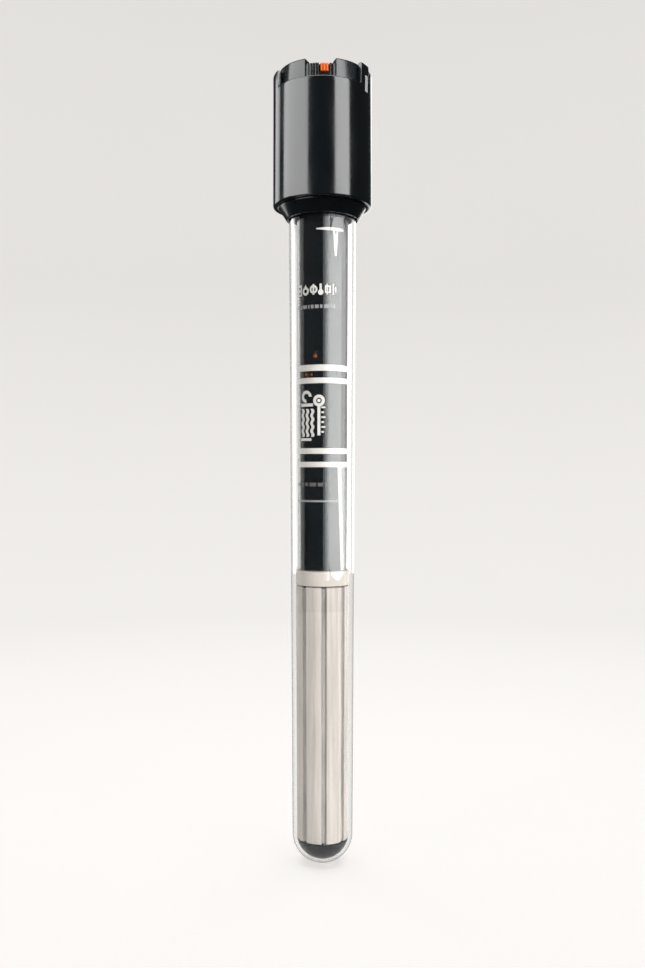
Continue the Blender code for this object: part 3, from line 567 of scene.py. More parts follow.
def along_y(mesh, z=0.0):
    """Turn a mesh made on the Z axis so that it points to +Y."""
    mesh.transform(Matrix.Translation((0.0, 0.0, z * MM)) @ Matrix.Rotation(-pi / 2, 4, "X"))
    return mesh


def merged(meshes):
    bm = bmesh.new()
    for mesh in meshes:
        bm.from_mesh(mesh)
    result = bpy.data.meshes.new("merged")
    bm.to_mesh(result)
    bm.free()
    result.shade_smooth()
    result.set_sharp_from_angle(angle=radians(32.0))
    return result


def wire_mesh(path, radius, sides):
    """A round wire along an array of points, with its ends closed."""
    side, other = carried_frame(path)
    angles = tau * np.arange(sides) / sides
    loops = (path[:, None, :] + radius * (np.cos(angles)[None, :, None] * side[:, None, :]
                                          + np.sin(angles)[None, :, None] * other[:, None, :]))
    return grid_mesh(loops, False, True, 180.0)


def carried_frame(path):
    """Two directions across a path at each of its points, which twist as little as they can."""
    tangent = np.gradient(path, axis=0)
    tangent /= np.linalg.norm(tangent, axis=1)[:, None]
    start = np.cross(tangent[0], (0.31, 0.57, 0.76))
    frames = [start / np.linalg.norm(start)]
    for t in tangent[1:]:
        across = frames[-1] - t * np.dot(frames[-1], t)
        frames.append(across / np.linalg.norm(across))
    side = np.array(frames)
    return side, np.cross(tangent, side)


def piece(name, mesh, finish, body, nodes=()):
    """Put a mesh into the scene on its body, in place of the CAD nodes it stands for."""
    mesh.name = name
    mesh.materials.clear()
    mesh.materials.append(finish)
    made = bpy.data.objects.new(name, mesh)
    bpy.context.scene.collection.objects.link(made)
    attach(made, body)
    if nodes:
        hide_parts(*nodes)
    return made


def turn_from(start, azimuth):
    """Degrees from one azimuth to another, the short way round."""
    return (azimuth - start + 180.0) % 360.0 - 180.0


def step_at(value, edge, width):
    """0 below an edge and 1 above it, with a soft change of the given width."""
    t = min(1.0, max(0.0, (value - edge) / width + 0.5))
    return t * t * (3.0 - 2.0 * t)


def inside(azimuth, span, width):
    """1 within a span of azimuths and 0 outside it."""
    start, end = span
    middle, half = (start + end) / 2, (end - start) / 2
    return 1.0 - step_at(abs(turn_from(middle, azimuth)), half, width)


# ---- cap ------------------------------------------------------------------

BLACK = (0.0060, 0.0082, 0.0098)
EDGE_WIDTH = 1.3                  # degrees that a guard's end takes to rise


def rim_height(azimuth):
    window = max(inside(azimuth, FRONT_WINDOW, EDGE_WIDTH), inside(azimuth, REAR_WINDOW, EDGE_WIDTH))
    post = inside(azimuth, POST_SPAN, EDGE_WIDTH)
    return GUARD_TOP - (GUARD_TOP - CAP_RIM) * window + (POST_TOP - GUARD_TOP) * post


def cap_profile(azimuth):
    top = rim_height(azimuth)
    corners = [
        (CAP_STEP, 0.1), ((CAP_STEP[0], CAP_BOTTOM), 0.15), ((CAP_R_LOW, CAP_BOTTOM), 0.5),
        ((CAP_R_HIGH + 0.02, CAP_RIM - 1.0), 0.1), ((CAP_R_HIGH, top), 0.42), ((WELL_R, top), 0.3),
        ((WELL_R, DECK_TOP), 0.15), ((BUSH_HOLE_R, DECK_TOP), 0.2), ((BUSH_HOLE_R, DECK_BOTTOM), 0.1),
        ((CAP_BORE_R, DECK_BOTTOM), 0.1), ((CAP_BORE_R, SEAT_HIGH), 0.1), ((SEAT_R, SEAT_HIGH), 0.1),
        ((SEAT_R, SEAT_LOW), 0.1), ((CAP_BORE_R, SEAT_LOW), 0.1), ((CAP_BORE_R, CAP_STEP[1]), 0.1),
    ]
    return rounded(*zip(*corners), 4)


def azimuths_with_edges(edges, coarse=1.5, fine=0.13, reach=1.0):
    """Azimuths round the axis, closer together near the given edges."""
    samples = set(np.arange(0.0, 360.0, coarse).round(3))
    for edge in edges:
        samples |= set(((edge + np.arange(-reach, reach + fine, fine)) % 360.0).round(3))
    return sorted(samples)


def cap_shell():
    edges = (*FRONT_WINDOW, *REAR_WINDOW, *POST_SPAN)
    shell = sweep_mesh(cap_profile, azimuths_with_edges(edges))
    boss = rounded([(5.1, 12.9), (7.3, 12.9), (6.9, 13.8), (6.9, 15.2), (5.1, 15.2)],
                   [0.0, 0.0, 0.5, 0.35, 0.2], 4)
    boss_mesh = along_y(lathe_mesh(boss, 96), INLET_Z)
    piece("cap_shell_look", merged([shell, boss_mesh]),
          glossy_plastic("cap_black", BLACK), "heater_body", ["cap_shell"])


def post_mark():
    """A pale stripe on the index post's outer face: a painted highlight, where the post catches the light.
    """
    inner, outer = CAP_R_HIGH + 0.03, CAP_R_HIGH + 0.07
    low, high = 64.6, 68.9
    section = [(inner, low), (outer, low), (outer, high), (inner, high)]
    azimuths = np.linspace(57.6, 63.6, 11)
    piece("post_mark", sweep_mesh(lambda azimuth: section, azimuths, False, 30.0),
          printed_ink("painted_highlight_pale", (0.32, 0.32, 0.32)), "heater_body")


def clamp_ring():
    """A cone below the cap, and a sleeve above it that stands inside the cap."""
    bore_r, foot_r, cone_r, sleeve_r = 10.3, 10.8, 13.0, 12.3
    bottom, cone_top, shoulder, top = 31.5, 34.8, 35.6, 39.0
    outline = rounded([(bore_r, bottom), (foot_r, bottom), (cone_r, cone_top), (cone_r, shoulder),
                       (sleeve_r, shoulder), (sleeve_r, top), (bore_r, top)],
                      [0.2, 0.25, 0.3, 0.1, 0.1, 0.2, 0.2], 4)
    piece("clamp_ring_look", lathe_mesh(outline),
          glossy_plastic("clamp_black", BLACK, 0.2, 0.5), "heater_body",
          ["clamp_ring"])


def cord_gland():
    """The gland's flange is knurled so that it can be turned by hand."""
    knurls = 30

    def profile(azimuth):
        flute = 0.5 + 0.5 * cos(radians(azimuth * knurls))
        flange = 6.6 - 0.3 * flute ** 2
        corners = [(4.25, 12.0), (4.8, 12.0), (4.8, 15.5), (flange, 15.5), (flange, 18.6),
                   (5.5, 18.6), (5.3, 18.3), (4.25, 18.3)]
        return rounded(corners, [0.1, 0.15, 0.05, 0.25, 0.45, 0.2, 0.1, 0.15], 3)

    mesh = sweep_mesh(profile, np.arange(0.0, 360.0, 1.5))
    piece("cord_gland_look", along_y(mesh, INLET_Z), glossy_plastic("gland_black", BLACK, 0.2, 0.4),
          "heater_body", ["cord_gland"])


def cord_grommet():
    outline = [(3.25, 12.3), (3.95, 12.3), (3.95, 18.9), (5.2, 18.9), (5.2, 20.1)]
    sizes = [0.1, 0.15, 0.05, 0.3, 0.3]
    rings, first, end = 3, 20.1, 25.0
    pitch = (end - first) / rings
    for i in range(rings):
        start, radius = first + i * pitch, 4.7 - 0.2 * i
        outline += [(3.9, start + 0.02), (3.9, start + 0.5), (radius, start + 0.6),
                    (radius, start + pitch)]
        sizes += [0.1, 0.1, 0.2, 0.3]
    outline.append((3.25, end))
    sizes.append(0.15)
    mesh = lathe_mesh(rounded(outline, sizes, 4), 96)
    piece("cord_grommet_look", along_y(mesh, INLET_Z), rubber("grommet_rubber"), "heater_body",
          ["cord_grommet"])


# ---- dial -----------------------------------------------------------------

def rib(azimuth):
    """Height of the grip ribs at an azimuth, 0 between them and 1 on a tip."""
    gap_start, margin = LUG_START + LUG_SWEEP, 3.125
    for quarter in range(4):
        first = gap_start + 90.0 * quarter + margin
        along = turn_from(first, azimuth)
        index = round(along / RIB_PITCH)
        if 0 <= index <= 9:
            return 1.0 - step_at(abs(along - index * RIB_PITCH), 1.2, 1.1)
    return 0.0


def lug(azimuth):
    spans = [(LUG_START + 90.0 * q, LUG_START + LUG_SWEEP + 90.0 * q) for q in range(4)]
    return max(inside(azimuth, span, 1.2) for span in spans)


def dial_profile(azimuth):
    raised = lug(azimuth)
    near_pointer = abs(turn_from(POINTER_AZIMUTH, azimuth)) < POINTER_SLOT_HALF
    near_rib = rib(azimuth) if not near_pointer else 0.0
    side = max(DIAL_R + (RIB_TIP_R - DIAL_R) * near_rib, DIAL_R + (LUG_R - DIAL_R) * raised)
    side_top = 11.5 if near_pointer else side
    top = DIAL_TOP + (LUG_TOP - DIAL_TOP) * raised
    corners = [
        ((2.3, DIAL_BOTTOM), 0.1), ((8.2, DIAL_BOTTOM), 0.1), ((8.2, 68.0), 0.1),
        ((11.2, 68.0), 0.1), ((11.2, DIAL_BOTTOM), 0.1), ((DIAL_R, DIAL_BOTTOM), 0.1),
        ((DIAL_R, DIAL_BOTTOM + 0.45), 0.05), ((side, DIAL_BOTTOM + 0.5), 0.15),
        ((side, 67.9), 0.08), ((side_top, 67.9), 0.08), ((side_top, top), 0.38),
        ((LUG_INNER_R, top), 0.35), ((LUG_INNER_R, DIAL_TOP), 0.15), ((6.6, DIAL_TOP), 0.15),
        ((6.6, 69.3), 0.1), ((3.2, 69.3), 0.1), ((3.2, 67.6), 0.1), ((1.5, 67.6), 0.1),
        ((1.5, 66.0), 0.0), ((2.3, 66.0), 0.0),
    ]
    return rounded(*zip(*corners), 3)


def temperature_dial():
    rib_zones = [np.arange(LUG_START + LUG_SWEEP + 90.0 * q, LUG_START + 90.0 * (q + 1), 0.375)
                 for q in range(4)]
    samples = set(np.arange(0.0, 360.0, 2.5).round(3))
    samples |= {round(float(a) % 360.0, 3) for zone in rib_zones for a in zone}
    for quarter in range(4):
        for edge in (LUG_START, LUG_START + LUG_SWEEP):
            near = edge + 90.0 * quarter + np.arange(-0.9, 0.95, 0.15)
            samples |= {round(float(a) % 360.0, 3) for a in near}
    for side in (-1, 1):
        edge = POINTER_AZIMUTH + side * POINTER_SLOT_HALF
        samples |= {round((edge - 0.02) % 360.0, 3), round((edge + 0.02) % 360.0, 3)}
    mesh = sweep_mesh(dial_profile, sorted(samples), True, 38.0)
    piece("temperature_dial_look", mesh, glossy_plastic("dial_black", BLACK, 0.22, 0.6), "dial",
          ["temperature_dial"])


def dial_pointer():
    def profile(azimuth):
        away = azimuth - POINTER_AZIMUTH
        nearest = min(abs(away - k * RIB_PITCH) for k in (-1, 0, 1))
        outer = 12.02 + (RIB_TIP_R - 12.02) * (1.0 - step_at(nearest, 1.15, 1.1))
        return rounded([(11.8, 68.2), (outer, 68.2), (outer, 70.3), (11.8, 70.3)],
                       [0.05, 0.15, 0.25, 0.15], 4)

    azimuths = np.linspace(POINTER_AZIMUTH - POINTER_HALF, POINTER_AZIMUTH + POINTER_HALF, 61)
    mesh = sweep_mesh(profile, azimuths, False)
    piece("dial_pointer_look", mesh, satin_plastic("pointer_orange", (0.86, 0.17, 0.025), 0.3),
          "dial", ["dial_pointer"])


def dial_cover():
    """A disc with a raised rim and a shallow dish, stepped in fine turning marks."""
    outline = [(0.0, 70.45), (2.0, 70.47)]
    for ring in range(6):
        radius = 2.3 + 0.42 * ring
        outline += [(radius, 70.5), (radius + 0.16, 70.54)]
    outline += [(5.0, 70.5), (5.2, 70.88), (5.9, 70.9), (6.2, 70.75), (6.3, 70.5), (6.3, 69.85),
                (6.1, 69.6), (0.0, 69.6)]
    piece("dial_cover_look", lathe_mesh(outline, 128, False),
          satin_plastic("cover_black", (0.012, 0.015, 0.018), 0.3), "dial",
          ["dial_cover"])


def dial_numbers():
    """Temperatures printed on the dial's top, where the index post can point at them."""
    values = range(20, 34, 2)
    middle = 58.75
    meshes = []
    for i, value in enumerate(values):
        text = bpy.data.curves.new("number", "FONT")
        text.body = str(value)
        text.size = 2.2 * MM
        text.extrude = 0.012 * MM
        text.align_x = "CENTER"
        text.align_y = "CENTER"
        holder = bpy.data.objects.new("number", text)
        mesh = bpy.data.meshes.new_from_object(holder)
        azimuth = middle + (i - 3) * 40.0
        x, y = polar(8.05, azimuth)
        spot = Matrix.Translation((x * MM, y * MM, (DIAL_TOP + 0.012) * MM))
        mesh.transform(spot @ Matrix.Rotation(radians(azimuth), 4, "Z"))
        meshes.append(mesh)
        bpy.data.objects.remove(holder, do_unlink=True)
        bpy.data.curves.remove(text)
    piece("dial_numbers", merged(meshes), printed_ink("number_white", (0.78, 0.78, 0.76)),
          "dial")


# ---- glass and sleeve -----------------------------------------------------

def glass_tube():
    lip = 0.45
    outline = [(TUBE_R, TUBE_TOP - lip)]
    outline += [(TUBE_R, z) for z in np.linspace(30.0, DOME_Z + 5.0, 24)]
    outline += arc(TUBE_R, DOME_Z, 0, -90, 40)
    outline += arc(BORE_R, DOME_Z, -90, 0, 40)
    outline += [(BORE_R, z) for z in np.linspace(DOME_Z + 5.0, 30.0, 24)]
    outline += [(BORE_R, TUBE_TOP - lip), (BORE_R + 0.15, TUBE_TOP - 0.1), (BORE_R + 0.45, TUBE_TOP),
                (TUBE_R - 0.45, TUBE_TOP), (TUBE_R - 0.15, TUBE_TOP - 0.1)]
    tube = piece("glass_tube_look", lathe_mesh(outline, 192, True, 60.0),
                 clear_glass("tube_glass"), "heater_body", ["glass_tube"])
    tube.visible_shadow = False


def label_sleeve():
    """The film has a small window over each end of the neon."""
    inner = SLEEVE_R - SLEEVE_WALL
    heights = sorted({SLEEVE_BOTTOM, -60.0, -40.0, -20.0, -15.5, -11.0, -6.5, 0.0, 15.0, SLEEVE_TOP})
    outline = [(inner, z) for z in heights] + [(SLEEVE_R, z) for z in reversed(heights)]
    mesh = lathe_mesh(outline, 128)
    made = piece("label_sleeve_look", mesh, sleeve_film("sleeve_black"), "heater_body",
                 ["label_sleeve"])
    for azimuth, height in NEON_WINDOWS:
        punch(made, azimuth, height, 0.4)


def punch(target, azimuth, height, radius):
    """Cut a round window through the sleeve, facing an azimuth."""
    mesh = lathe_mesh([(0.0, 6.0), (radius, 6.0), (radius, 8.5), (0.0, 8.5)], 32, False)
    turn = Matrix.Rotation(radians(azimuth), 4, "Z") @ Matrix.Rotation(pi / 2, 4, "X")
    mesh.transform(Matrix.Translation((0.0, 0.0, height * MM)) @ turn)
    tool = bpy.data.objects.new("punch", mesh)
    bpy.context.scene.collection.objects.link(tool)
    cut = target.modifiers.new("window", "BOOLEAN")
    cut.operation = "DIFFERENCE"
    cut.object = tool
    bpy.context.view_layer.update()
    graph = bpy.context.evaluated_depsgraph_get()
    cut_mesh = bpy.data.meshes.new_from_object(target.evaluated_get(graph))
    target.modifiers.clear()
    target.data = cut_mesh
    bpy.data.objects.remove(tool, do_unlink=True)


INK_LOW = 0.006                   # the ink stands this far off the film
INK_HIGH = 0.035
# white of the print, also the colour of the painted glint under the level mark
PRINT_AND_GLINT_WHITE = (0.68, 0.655, 0.63)


def on_sleeve(u, v, lift):
    """A point u millimetres round the sleeve from the front and v up it."""
    return polar(SLEEVE_R + lift, degrees(u / SLEEVE_R), v)


def ink_patch(outline):
    """A thin printed shape on the sleeve from an outline of (u, v) points."""
    bm = bmesh.new()
    faces = []
    for lift in (INK_LOW, INK_HIGH):
        verts = [bm.verts.new(Vector(on_sleeve(u, v, lift)) * MM) for u, v in outline]
        faces.append(verts)
    count = len(outline)
    bm.faces.new(faces[0])
    bm.faces.new(faces[1])
    for i in range(count):
        k = (i + 1) % count
        bm.faces.new((faces[0][i], faces[0][k], faces[1][k], faces[1][i]))
    bmesh.ops.triangulate(bm, faces=bm.faces)
    bmesh.ops.recalc_face_normals(bm, faces=bm.faces)
    mesh = bpy.data.meshes.new("ink")
    bm.to_mesh(mesh)
    bm.free()
    return mesh


def bar(u0, v0, u1, v1):
    """A rectangle, cut into strips narrow enough to follow the sleeve."""
    strips = max(1, round(abs(u1 - u0) / 0.7))
    edges = np.linspace(u0, u1, strips + 1)
    return [ink_patch([(a, v0), (b, v0), (b, v1), (a, v1)]) for a, b in zip(edges, edges[1:])]


def ink_ring(u, v, outer, inner, start=0.0, sweep=360.0, steps=20):
    """A ring, or part of one, drawn in short pieces."""
    patches = []
    for i in range(steps):
        a, b = (radians(start + sweep * (i + k) / steps) for k in (0, 1))
        corners = [(u + r * cos(t), v + r * sin(t)) for r, t in
                   ((inner, a), (outer, a), (outer, b), (inner, b))]
        patches.append(ink_patch(corners))
    return patches


def ink_band(azimuth_from, azimuth_to, low, high):
    """A band round the sleeve."""
    steps = max(2, round((azimuth_to - azimuth_from) / 3.0))
    azimuths = np.linspace(azimuth_from, azimuth_to, steps + 1)
    closed = azimuth_to - azimuth_from >= 360.0
    if closed:
        azimuths = azimuths[:-1]
    inner, outer = SLEEVE_R + INK_LOW, SLEEVE_R + INK_HIGH
    outline = [(inner, low), (outer, low), (outer, high), (inner, high)]
    return sweep_mesh(lambda a: outline, azimuths, closed, 30.0)


def level_mark():
    """Minimum water level: a printed bar with tapered ends, over a narrow white wedge that is a painted
    highlight, a glint down the glass below the bar.
    """
    patches = []
    left, right, low, high = -1.8, 6.8, 27.0, 27.9
    stem = 3.95
    steps = 14
    edges = np.linspace(left, right, steps + 1)

    def half_height(u):
        ends = min((u - left) / 3.0, (right - u) / 1.1)
        return (high - low) / 2 * min(1.0, 0.3 + 0.7 * ends)

    middle = (low + high) / 2
    for a, b in zip(edges, edges[1:]):
        patches.append(ink_patch([(a, middle - half_height(a)), (b, middle - half_height(b)),
                                  (b, middle + half_height(b)), (a, middle + half_height(a))]))
    # the wedge: a painted highlight in white ink, a glint below the bar
    patches.append(ink_patch([(stem - 0.8, low - 0.1), (stem - 0.35, low - 7.0),
                              (stem + 0.35, low - 7.0), (stem + 0.8, low - 0.1)]))
    return patches


def row_marks():
    """A row of plain symbols: square in square, drop, wave, thermometer, plug pins, bars."""
    low, high = 9.0, 12.1
    mid = (low + high) / 2
    marks = ink_box(-8.9, low, -6.8, high, 0.5) + bar(-8.2, mid - 0.4, -7.5, mid + 0.4)
    marks += ink_ring(-5.25, low + 1.15, 1.15, 0.55)
    marks.append(ink_patch([(-6.05, mid + 0.1), (-4.45, mid + 0.1), (-5.25, high)]))
    marks += ink_ring(-2.65, mid, 1.2, 0.65) + bar(-2.9, mid - 1.5, -2.4, mid + 1.5)
    marks += bar(-0.85, low, -0.2, high) + ink_ring(-0.52, low + 0.7, 0.8, 0.0)
    marks += ink_box(0.7, low + 0.5, 2.4, high - 0.5, 0.4) + bar(1.2, low, 1.5, high)
    return marks + bar(3.0, low, 3.4, high) + bar(3.75, low + 0.8, 4.15, high - 0.8)


def ink_box(u0, v0, u1, v1, stroke):
    """The outline of a rectangle."""
    return (bar(u0, v0, u1, v0 + stroke) + bar(u0, v1 - stroke, u1, v1)
            + bar(u0, v0 + stroke, u0 + stroke, v1 - stroke)
            + bar(u1 - stroke, v0 + stroke, u1, v1 - stroke))


def dash_row(low, high, start, end, widths, gap):
    """A line of small print, shown as dashes of uneven length."""
    marks, u, i = [], start, 0
    while u < end:
        width = widths[i % len(widths)]
        marks += bar(u, low, min(u + width, end), high)
        u += width + gap
        i += 1
    return marks


def pictogram():
    """A turned block: waves over a water line beside a thermometer."""
    low, high, left, right = -33.4, -18.3, -7.4, 0.95
    marks = []
    for k in range(3):
        u = left + 1.0 + 1.65 * k
        marks += wavy_line(u, low + 1.2, high - 5.6, 0.46, 0.24)
    stem = right - 2.0
    marks += bar(stem - 0.45, low + 1.6, stem + 0.45, high - 4.0)
    marks += ink_ring(stem, high - 3.2, 1.75, 0.85) + ink_ring(stem, high - 3.2, 0.5, 0.0)
    marks += bar(left + 0.2, high - 4.9, left + 4.6, high - 4.0)
    marks += ink_ring(left + 2.3, high - 2.0, 1.8, 0.9, 0.0, 270.0)
    marks += bar(left, low, left + 4.0, low + 0.8)
    for k in range(6):
        v = low + 2.4 + 1.45 * k
        marks += bar(right - 1.3, v, right - (0.1 if k % 2 else 0.5), v + 0.5)
    return marks


def wavy_line(u, v0, v1, half_width, swing):
    """A line up the sleeve that swings from side to side."""
    heights = np.linspace(v0, v1, 26)
    side = [u + swing * sin(tau * (v - v0) / 2.3) for v in heights]
    return [ink_patch([(a - half_width, v), (a + half_width, v), (b + half_width, w),
                       (b - half_width, w)])
            for a, b, v, w in zip(side, side[1:], heights, heights[1:])]


def slanted_strip(azimuth_high, azimuth_low, high, low, width):
    """A stripe down the sleeve that leans round it. Width is in degrees."""
    heights = np.linspace(high, low, 13)
    starts = [radians(azimuth_high + (azimuth_low - azimuth_high) * t) * SLEEVE_R
              for t in np.linspace(0.0, 1.0, 13)]
    columns = 4
    step = radians(width) * SLEEVE_R / columns
    return [ink_patch([(a + k * step, v), (a + (k + 1) * step, v), (b + (k + 1) * step, w),
                       (b + k * step, w)])
            for a, b, v, w in zip(starts, starts[1:], heights, heights[1:])
            for k in range(columns)]


def sleeve_print():
    white = printed_ink("print_white_and_glint", PRINT_AND_GLINT_WHITE)
    grey = printed_ink("print_grey_and_sheen", (0.27, 0.27, 0.27))
    dim = printed_ink("print_dim", (0.11, 0.11, 0.11))
    rings = [ink_band(-180.0, 180.0, low, high) for low, high in
             ((-12.8, -11.0), (-16.4, -14.8), (-37.3, -35.6), (-41.3, -39.7))]
    strip = slanted_strip(35.0, 45.0, -41.3, SLEEVE_BOTTOM + 0.05, 10.5)
    # a grey band beside the white stripe: painted sheen, where the film's highlight fades out
    painted_sheen_strip = slanted_strip(46.0, 56.0, -41.3, SLEEVE_BOTTOM + 0.05, 16.0)
    small = dash_row(5.2, 6.2, -8.9, 4.1, (1.1, 0.7, 1.5, 0.5, 0.9), 0.4)
    faint = dash_row(-47.1, -46.0, -9.0, 1.6, (1.6, 0.8, 1.1, 2.1), 0.5)
    lower_ring = ink_band(-180.0, 180.0, -51.9, -51.3)
    groups = {
        "print_rings": (rings + strip, white),
        # the level mark's wedge is a painted highlight
        "print_level_mark": (level_mark(), white),
        "print_symbols": (row_marks() + pictogram(), white),
        # the grey ink here is print, and painted sheen for the band beside the white stripe
        "print_small_row": (small + [lower_ring] + painted_sheen_strip, grey),
        "print_faint_row": (faint, dim),
    }
    for name, (meshes, ink) in groups.items():
        piece(name, merged(meshes), ink, "heater_body")


def neon_glows():
    """Glowing spots painted on the film, standing for the neon's light coming through it: one small spot
    and a wider double one.
    """
    spots = ((-17.5, -8.5, 0.36), (-38.0, -13.8, 0.42), (-24.0, -13.9, 0.34))
    patches = []
    for azimuth, height, radius in spots:
        patches += ink_ring(radians(azimuth) * SLEEVE_R, height, radius, 0.0)
    piece("neon_glows", merged(patches), neon_glass("window_glow", 0.22), "heater_body")


# ---- heating core ---------------------------------------------------------

def ceramic_ring():
    recess_top = RING_BOTTOM + RECESS_DEPTH
    corners = [(CORE_BORE_R, RING_BOTTOM), (GROOVE_FLOOR_R, RING_BOTTOM),
               (GROOVE_FLOOR_R, recess_top), (RECESS_OUTER_R, recess_top),
               (RECESS_OUTER_R, RING_BOTTOM), (CORE_R, RING_BOTTOM), (CORE_R, RING_SHOULDER),
               (SPIGOT_R, RING_SHOULDER), (SPIGOT_R, RING_TOP), (CORE_BORE_R, RING_TOP)]
    outline = rounded(corners, [0.1, 0.1, 0.05, 0.05, 0.05, 0.15, 0.25, 0.05, 0.2, 0.1], 4)
    piece("ceramic_ring_look", lathe_mesh(outline), ceramic("ring_ceramic"),
          "heater_body", ["ceramic_ring"])


def core_section():
    """The core's section: a circle with eight grooves, their edges rounded."""
    half_wall = degrees(asin(GROOVE_WIDTH / 2 / CORE_R))
    half_floor = degrees(asin(GROOVE_WIDTH / 2 / GROOVE_FLOOR_R))
    corners, radii = [], []
    steps = 10
    for groove in range(GROOVES):
        middle = GROOVE_FIRST + GROOVE_STEP * groove
        corners += [polar(GROOVE_FLOOR_R, middle - half_floor), polar(GROOVE_FLOOR_R, middle + half_floor)]
        radii += [0.45, 0.45]
        sweep = GROOVE_STEP - 2 * half_wall
        for i in range(steps + 1):
            corners.append(polar(CORE_R, middle + half_wall + sweep * i / steps))
            radii.append(0.22 if i in (0, steps) else 0.0)
    return rounded(corners, radii, 4)


def ceramic_core():
    section = np.array(core_section())
    chamfer = 0.25
    levels = [(CORE_BOTTOM, 1.0 - chamfer / CORE_R), (CORE_BOTTOM + chamfer, 1.0),
              *((z, 1.0) for z in np.linspace(CORE_BOTTOM + 5.0, CORE_TOP - 5.0, 8)),
              (CORE_TOP - chamfer, 1.0), (CORE_TOP, 1.0 - chamfer / CORE_R)]
    centre = np.array([CORE_BORE_R * p / np.linalg.norm(p) for p in section])
    loops = [np.column_stack([centre, np.full(len(centre), CORE_BOTTOM)])]
    loops += [np.column_stack([section * scale, np.full(len(section), z)]) for z, scale in levels]
    loops.append(np.column_stack([centre, np.full(len(centre), CORE_TOP)]))
    piece("ceramic_core_look", grid_mesh(loops, True, True, 40.0),
          ceramic("core_ceramic", 0.22), "heater_body", ["ceramic_core"])


def groove_cement():
    """Cement that closes the grooves over the coil, a little below the ribs. Its dark tone is painted
    shade in the grooves.
    """
    inner, outer, half_width, margin = 7.75, 8.1, 0.7, 0.4
    meshes = []
    for groove in range(GROOVES):
        middle = GROOVE_FIRST + GROOVE_STEP * groove
        half = degrees(asin(half_width / inner))
        section = [polar(inner, middle - half), polar(inner, middle + half)]
        section += [polar(outer - 0.12 * cos(pi * t), middle + half * 0.93 * (1.0 - 2.0 * t))
                    for t in np.linspace(0.0, 1.0, 7)]
        heights = np.linspace(CORE_BOTTOM + margin, CORE_TOP - margin, 12)
        loops = [[(*point, z) for point in section] for z in heights]
        meshes.append(grid_mesh(loops, False))
    piece("groove_cement", merged(meshes), cement("cement_grey_painted_shade"), "heater_body")


def coil_centreline():
    """Down one groove and up the next, eight times, with a tail at each end."""
    first, last = TAIL_AZIMUTHS
    top, bottom = CORE_TOP + 0.15, CORE_BOTTOM - 0.15
    tail = [(TAIL_PATH_R, -68.3), (TAIL_PATH_R, -73.0), (TAIL_PATH_R, -76.6),
            (TAIL_PATH_R + 0.45, -77.1), (COIL_PATH_R - 0.25, -77.8), (COIL_PATH_R, -78.4),
            (COIL_PATH_R, -79.2)]
    points = [polar(r, first, z) for r, z in tail]
    for groove in range(GROOVES):
        azimuth = first + GROOVE_STEP * groove
        down = groove % 2 == 0
        start, end = (top, bottom) if down else (bottom, top)
        if groove:
            points.append(polar(COIL_PATH_R, azimuth, start))
        if groove < GROOVES - 1:
            points.append(polar(COIL_PATH_R, azimuth, end))
            rise = -0.95 if down else 0.95
            for t in np.linspace(0.0, pi, 15)[1:-1]:
                points.append(polar(COIL_PATH_R, azimuth + GROOVE_STEP * (1 - cos(t)) / 2,
                                    end + rise * sin(t)))
    return points + [polar(r, last, z) for r, z in reversed(tail)]


def resampled(points, spacing):
    points = np.asarray(points, float)
    lengths = np.concatenate([[0.0], np.cumsum(np.linalg.norm(np.diff(points, axis=0), axis=1))])
    places = np.linspace(0.0, lengths[-1], round(lengths[-1] / spacing))
    return np.column_stack([np.interp(places, lengths, points[:, k]) for k in range(3)]), places


def heating_coil():
    """Resistance wire wound in a fine helix along the grooves."""
    per_turn = 8
    path, along = resampled(coil_centreline(), COIL_PITCH / per_turn)
    side, other = carried_frame(path)
    phase = tau * along / COIL_PITCH
    radius = COIL_R - COIL_WIRE_R
    helix = path + radius * (np.cos(phase)[:, None] * side + np.sin(phase)[:, None] * other)
    piece("heating_coil_look", wire_mesh(helix, COIL_WIRE_R, 4),
          resistance_wire("coil_wire"), "heater_body", ["heating_coil"])


def rubber_cushion():
    radius = BORE_R - 0.3
    top = CORE_BOTTOM - 0.3
    lip_r = sqrt(radius ** 2 - (DOME_Z - top) ** 2)
    start = -degrees(asin((DOME_Z - top) / radius))
    recess_r, depth = GROOVE_FLOOR_R - 0.1, top - RECESS_DEPTH
    dome = arc(radius, DOME_Z, start, -90, 40)[2:]
    rim = rounded([(0.0, top), (recess_r, top), (recess_r, depth), (RECESS_OUTER_R, depth),
                   (RECESS_OUTER_R, top), (lip_r, top), dome[0]],
                  [0.0, 0.2, 0.2, 0.2, 0.2, 0.3, 0.0], 4, False)
    outline = rim[:-1] + dome
    piece("rubber_cushion_look", lathe_mesh(outline, 160, False),
          rubber("cushion_rubber"), "heater_body", ["rubber_cushion"])


# ---- finishes for the CAD pieces that are shown as they are ---------------

def paint_cad(names, finish):
    """Give CAD nodes a finish without touching their meshes."""
    for name in names:
        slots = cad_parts[name].data.materials
        for i in range(len(slots)):
            slots[i] = finish


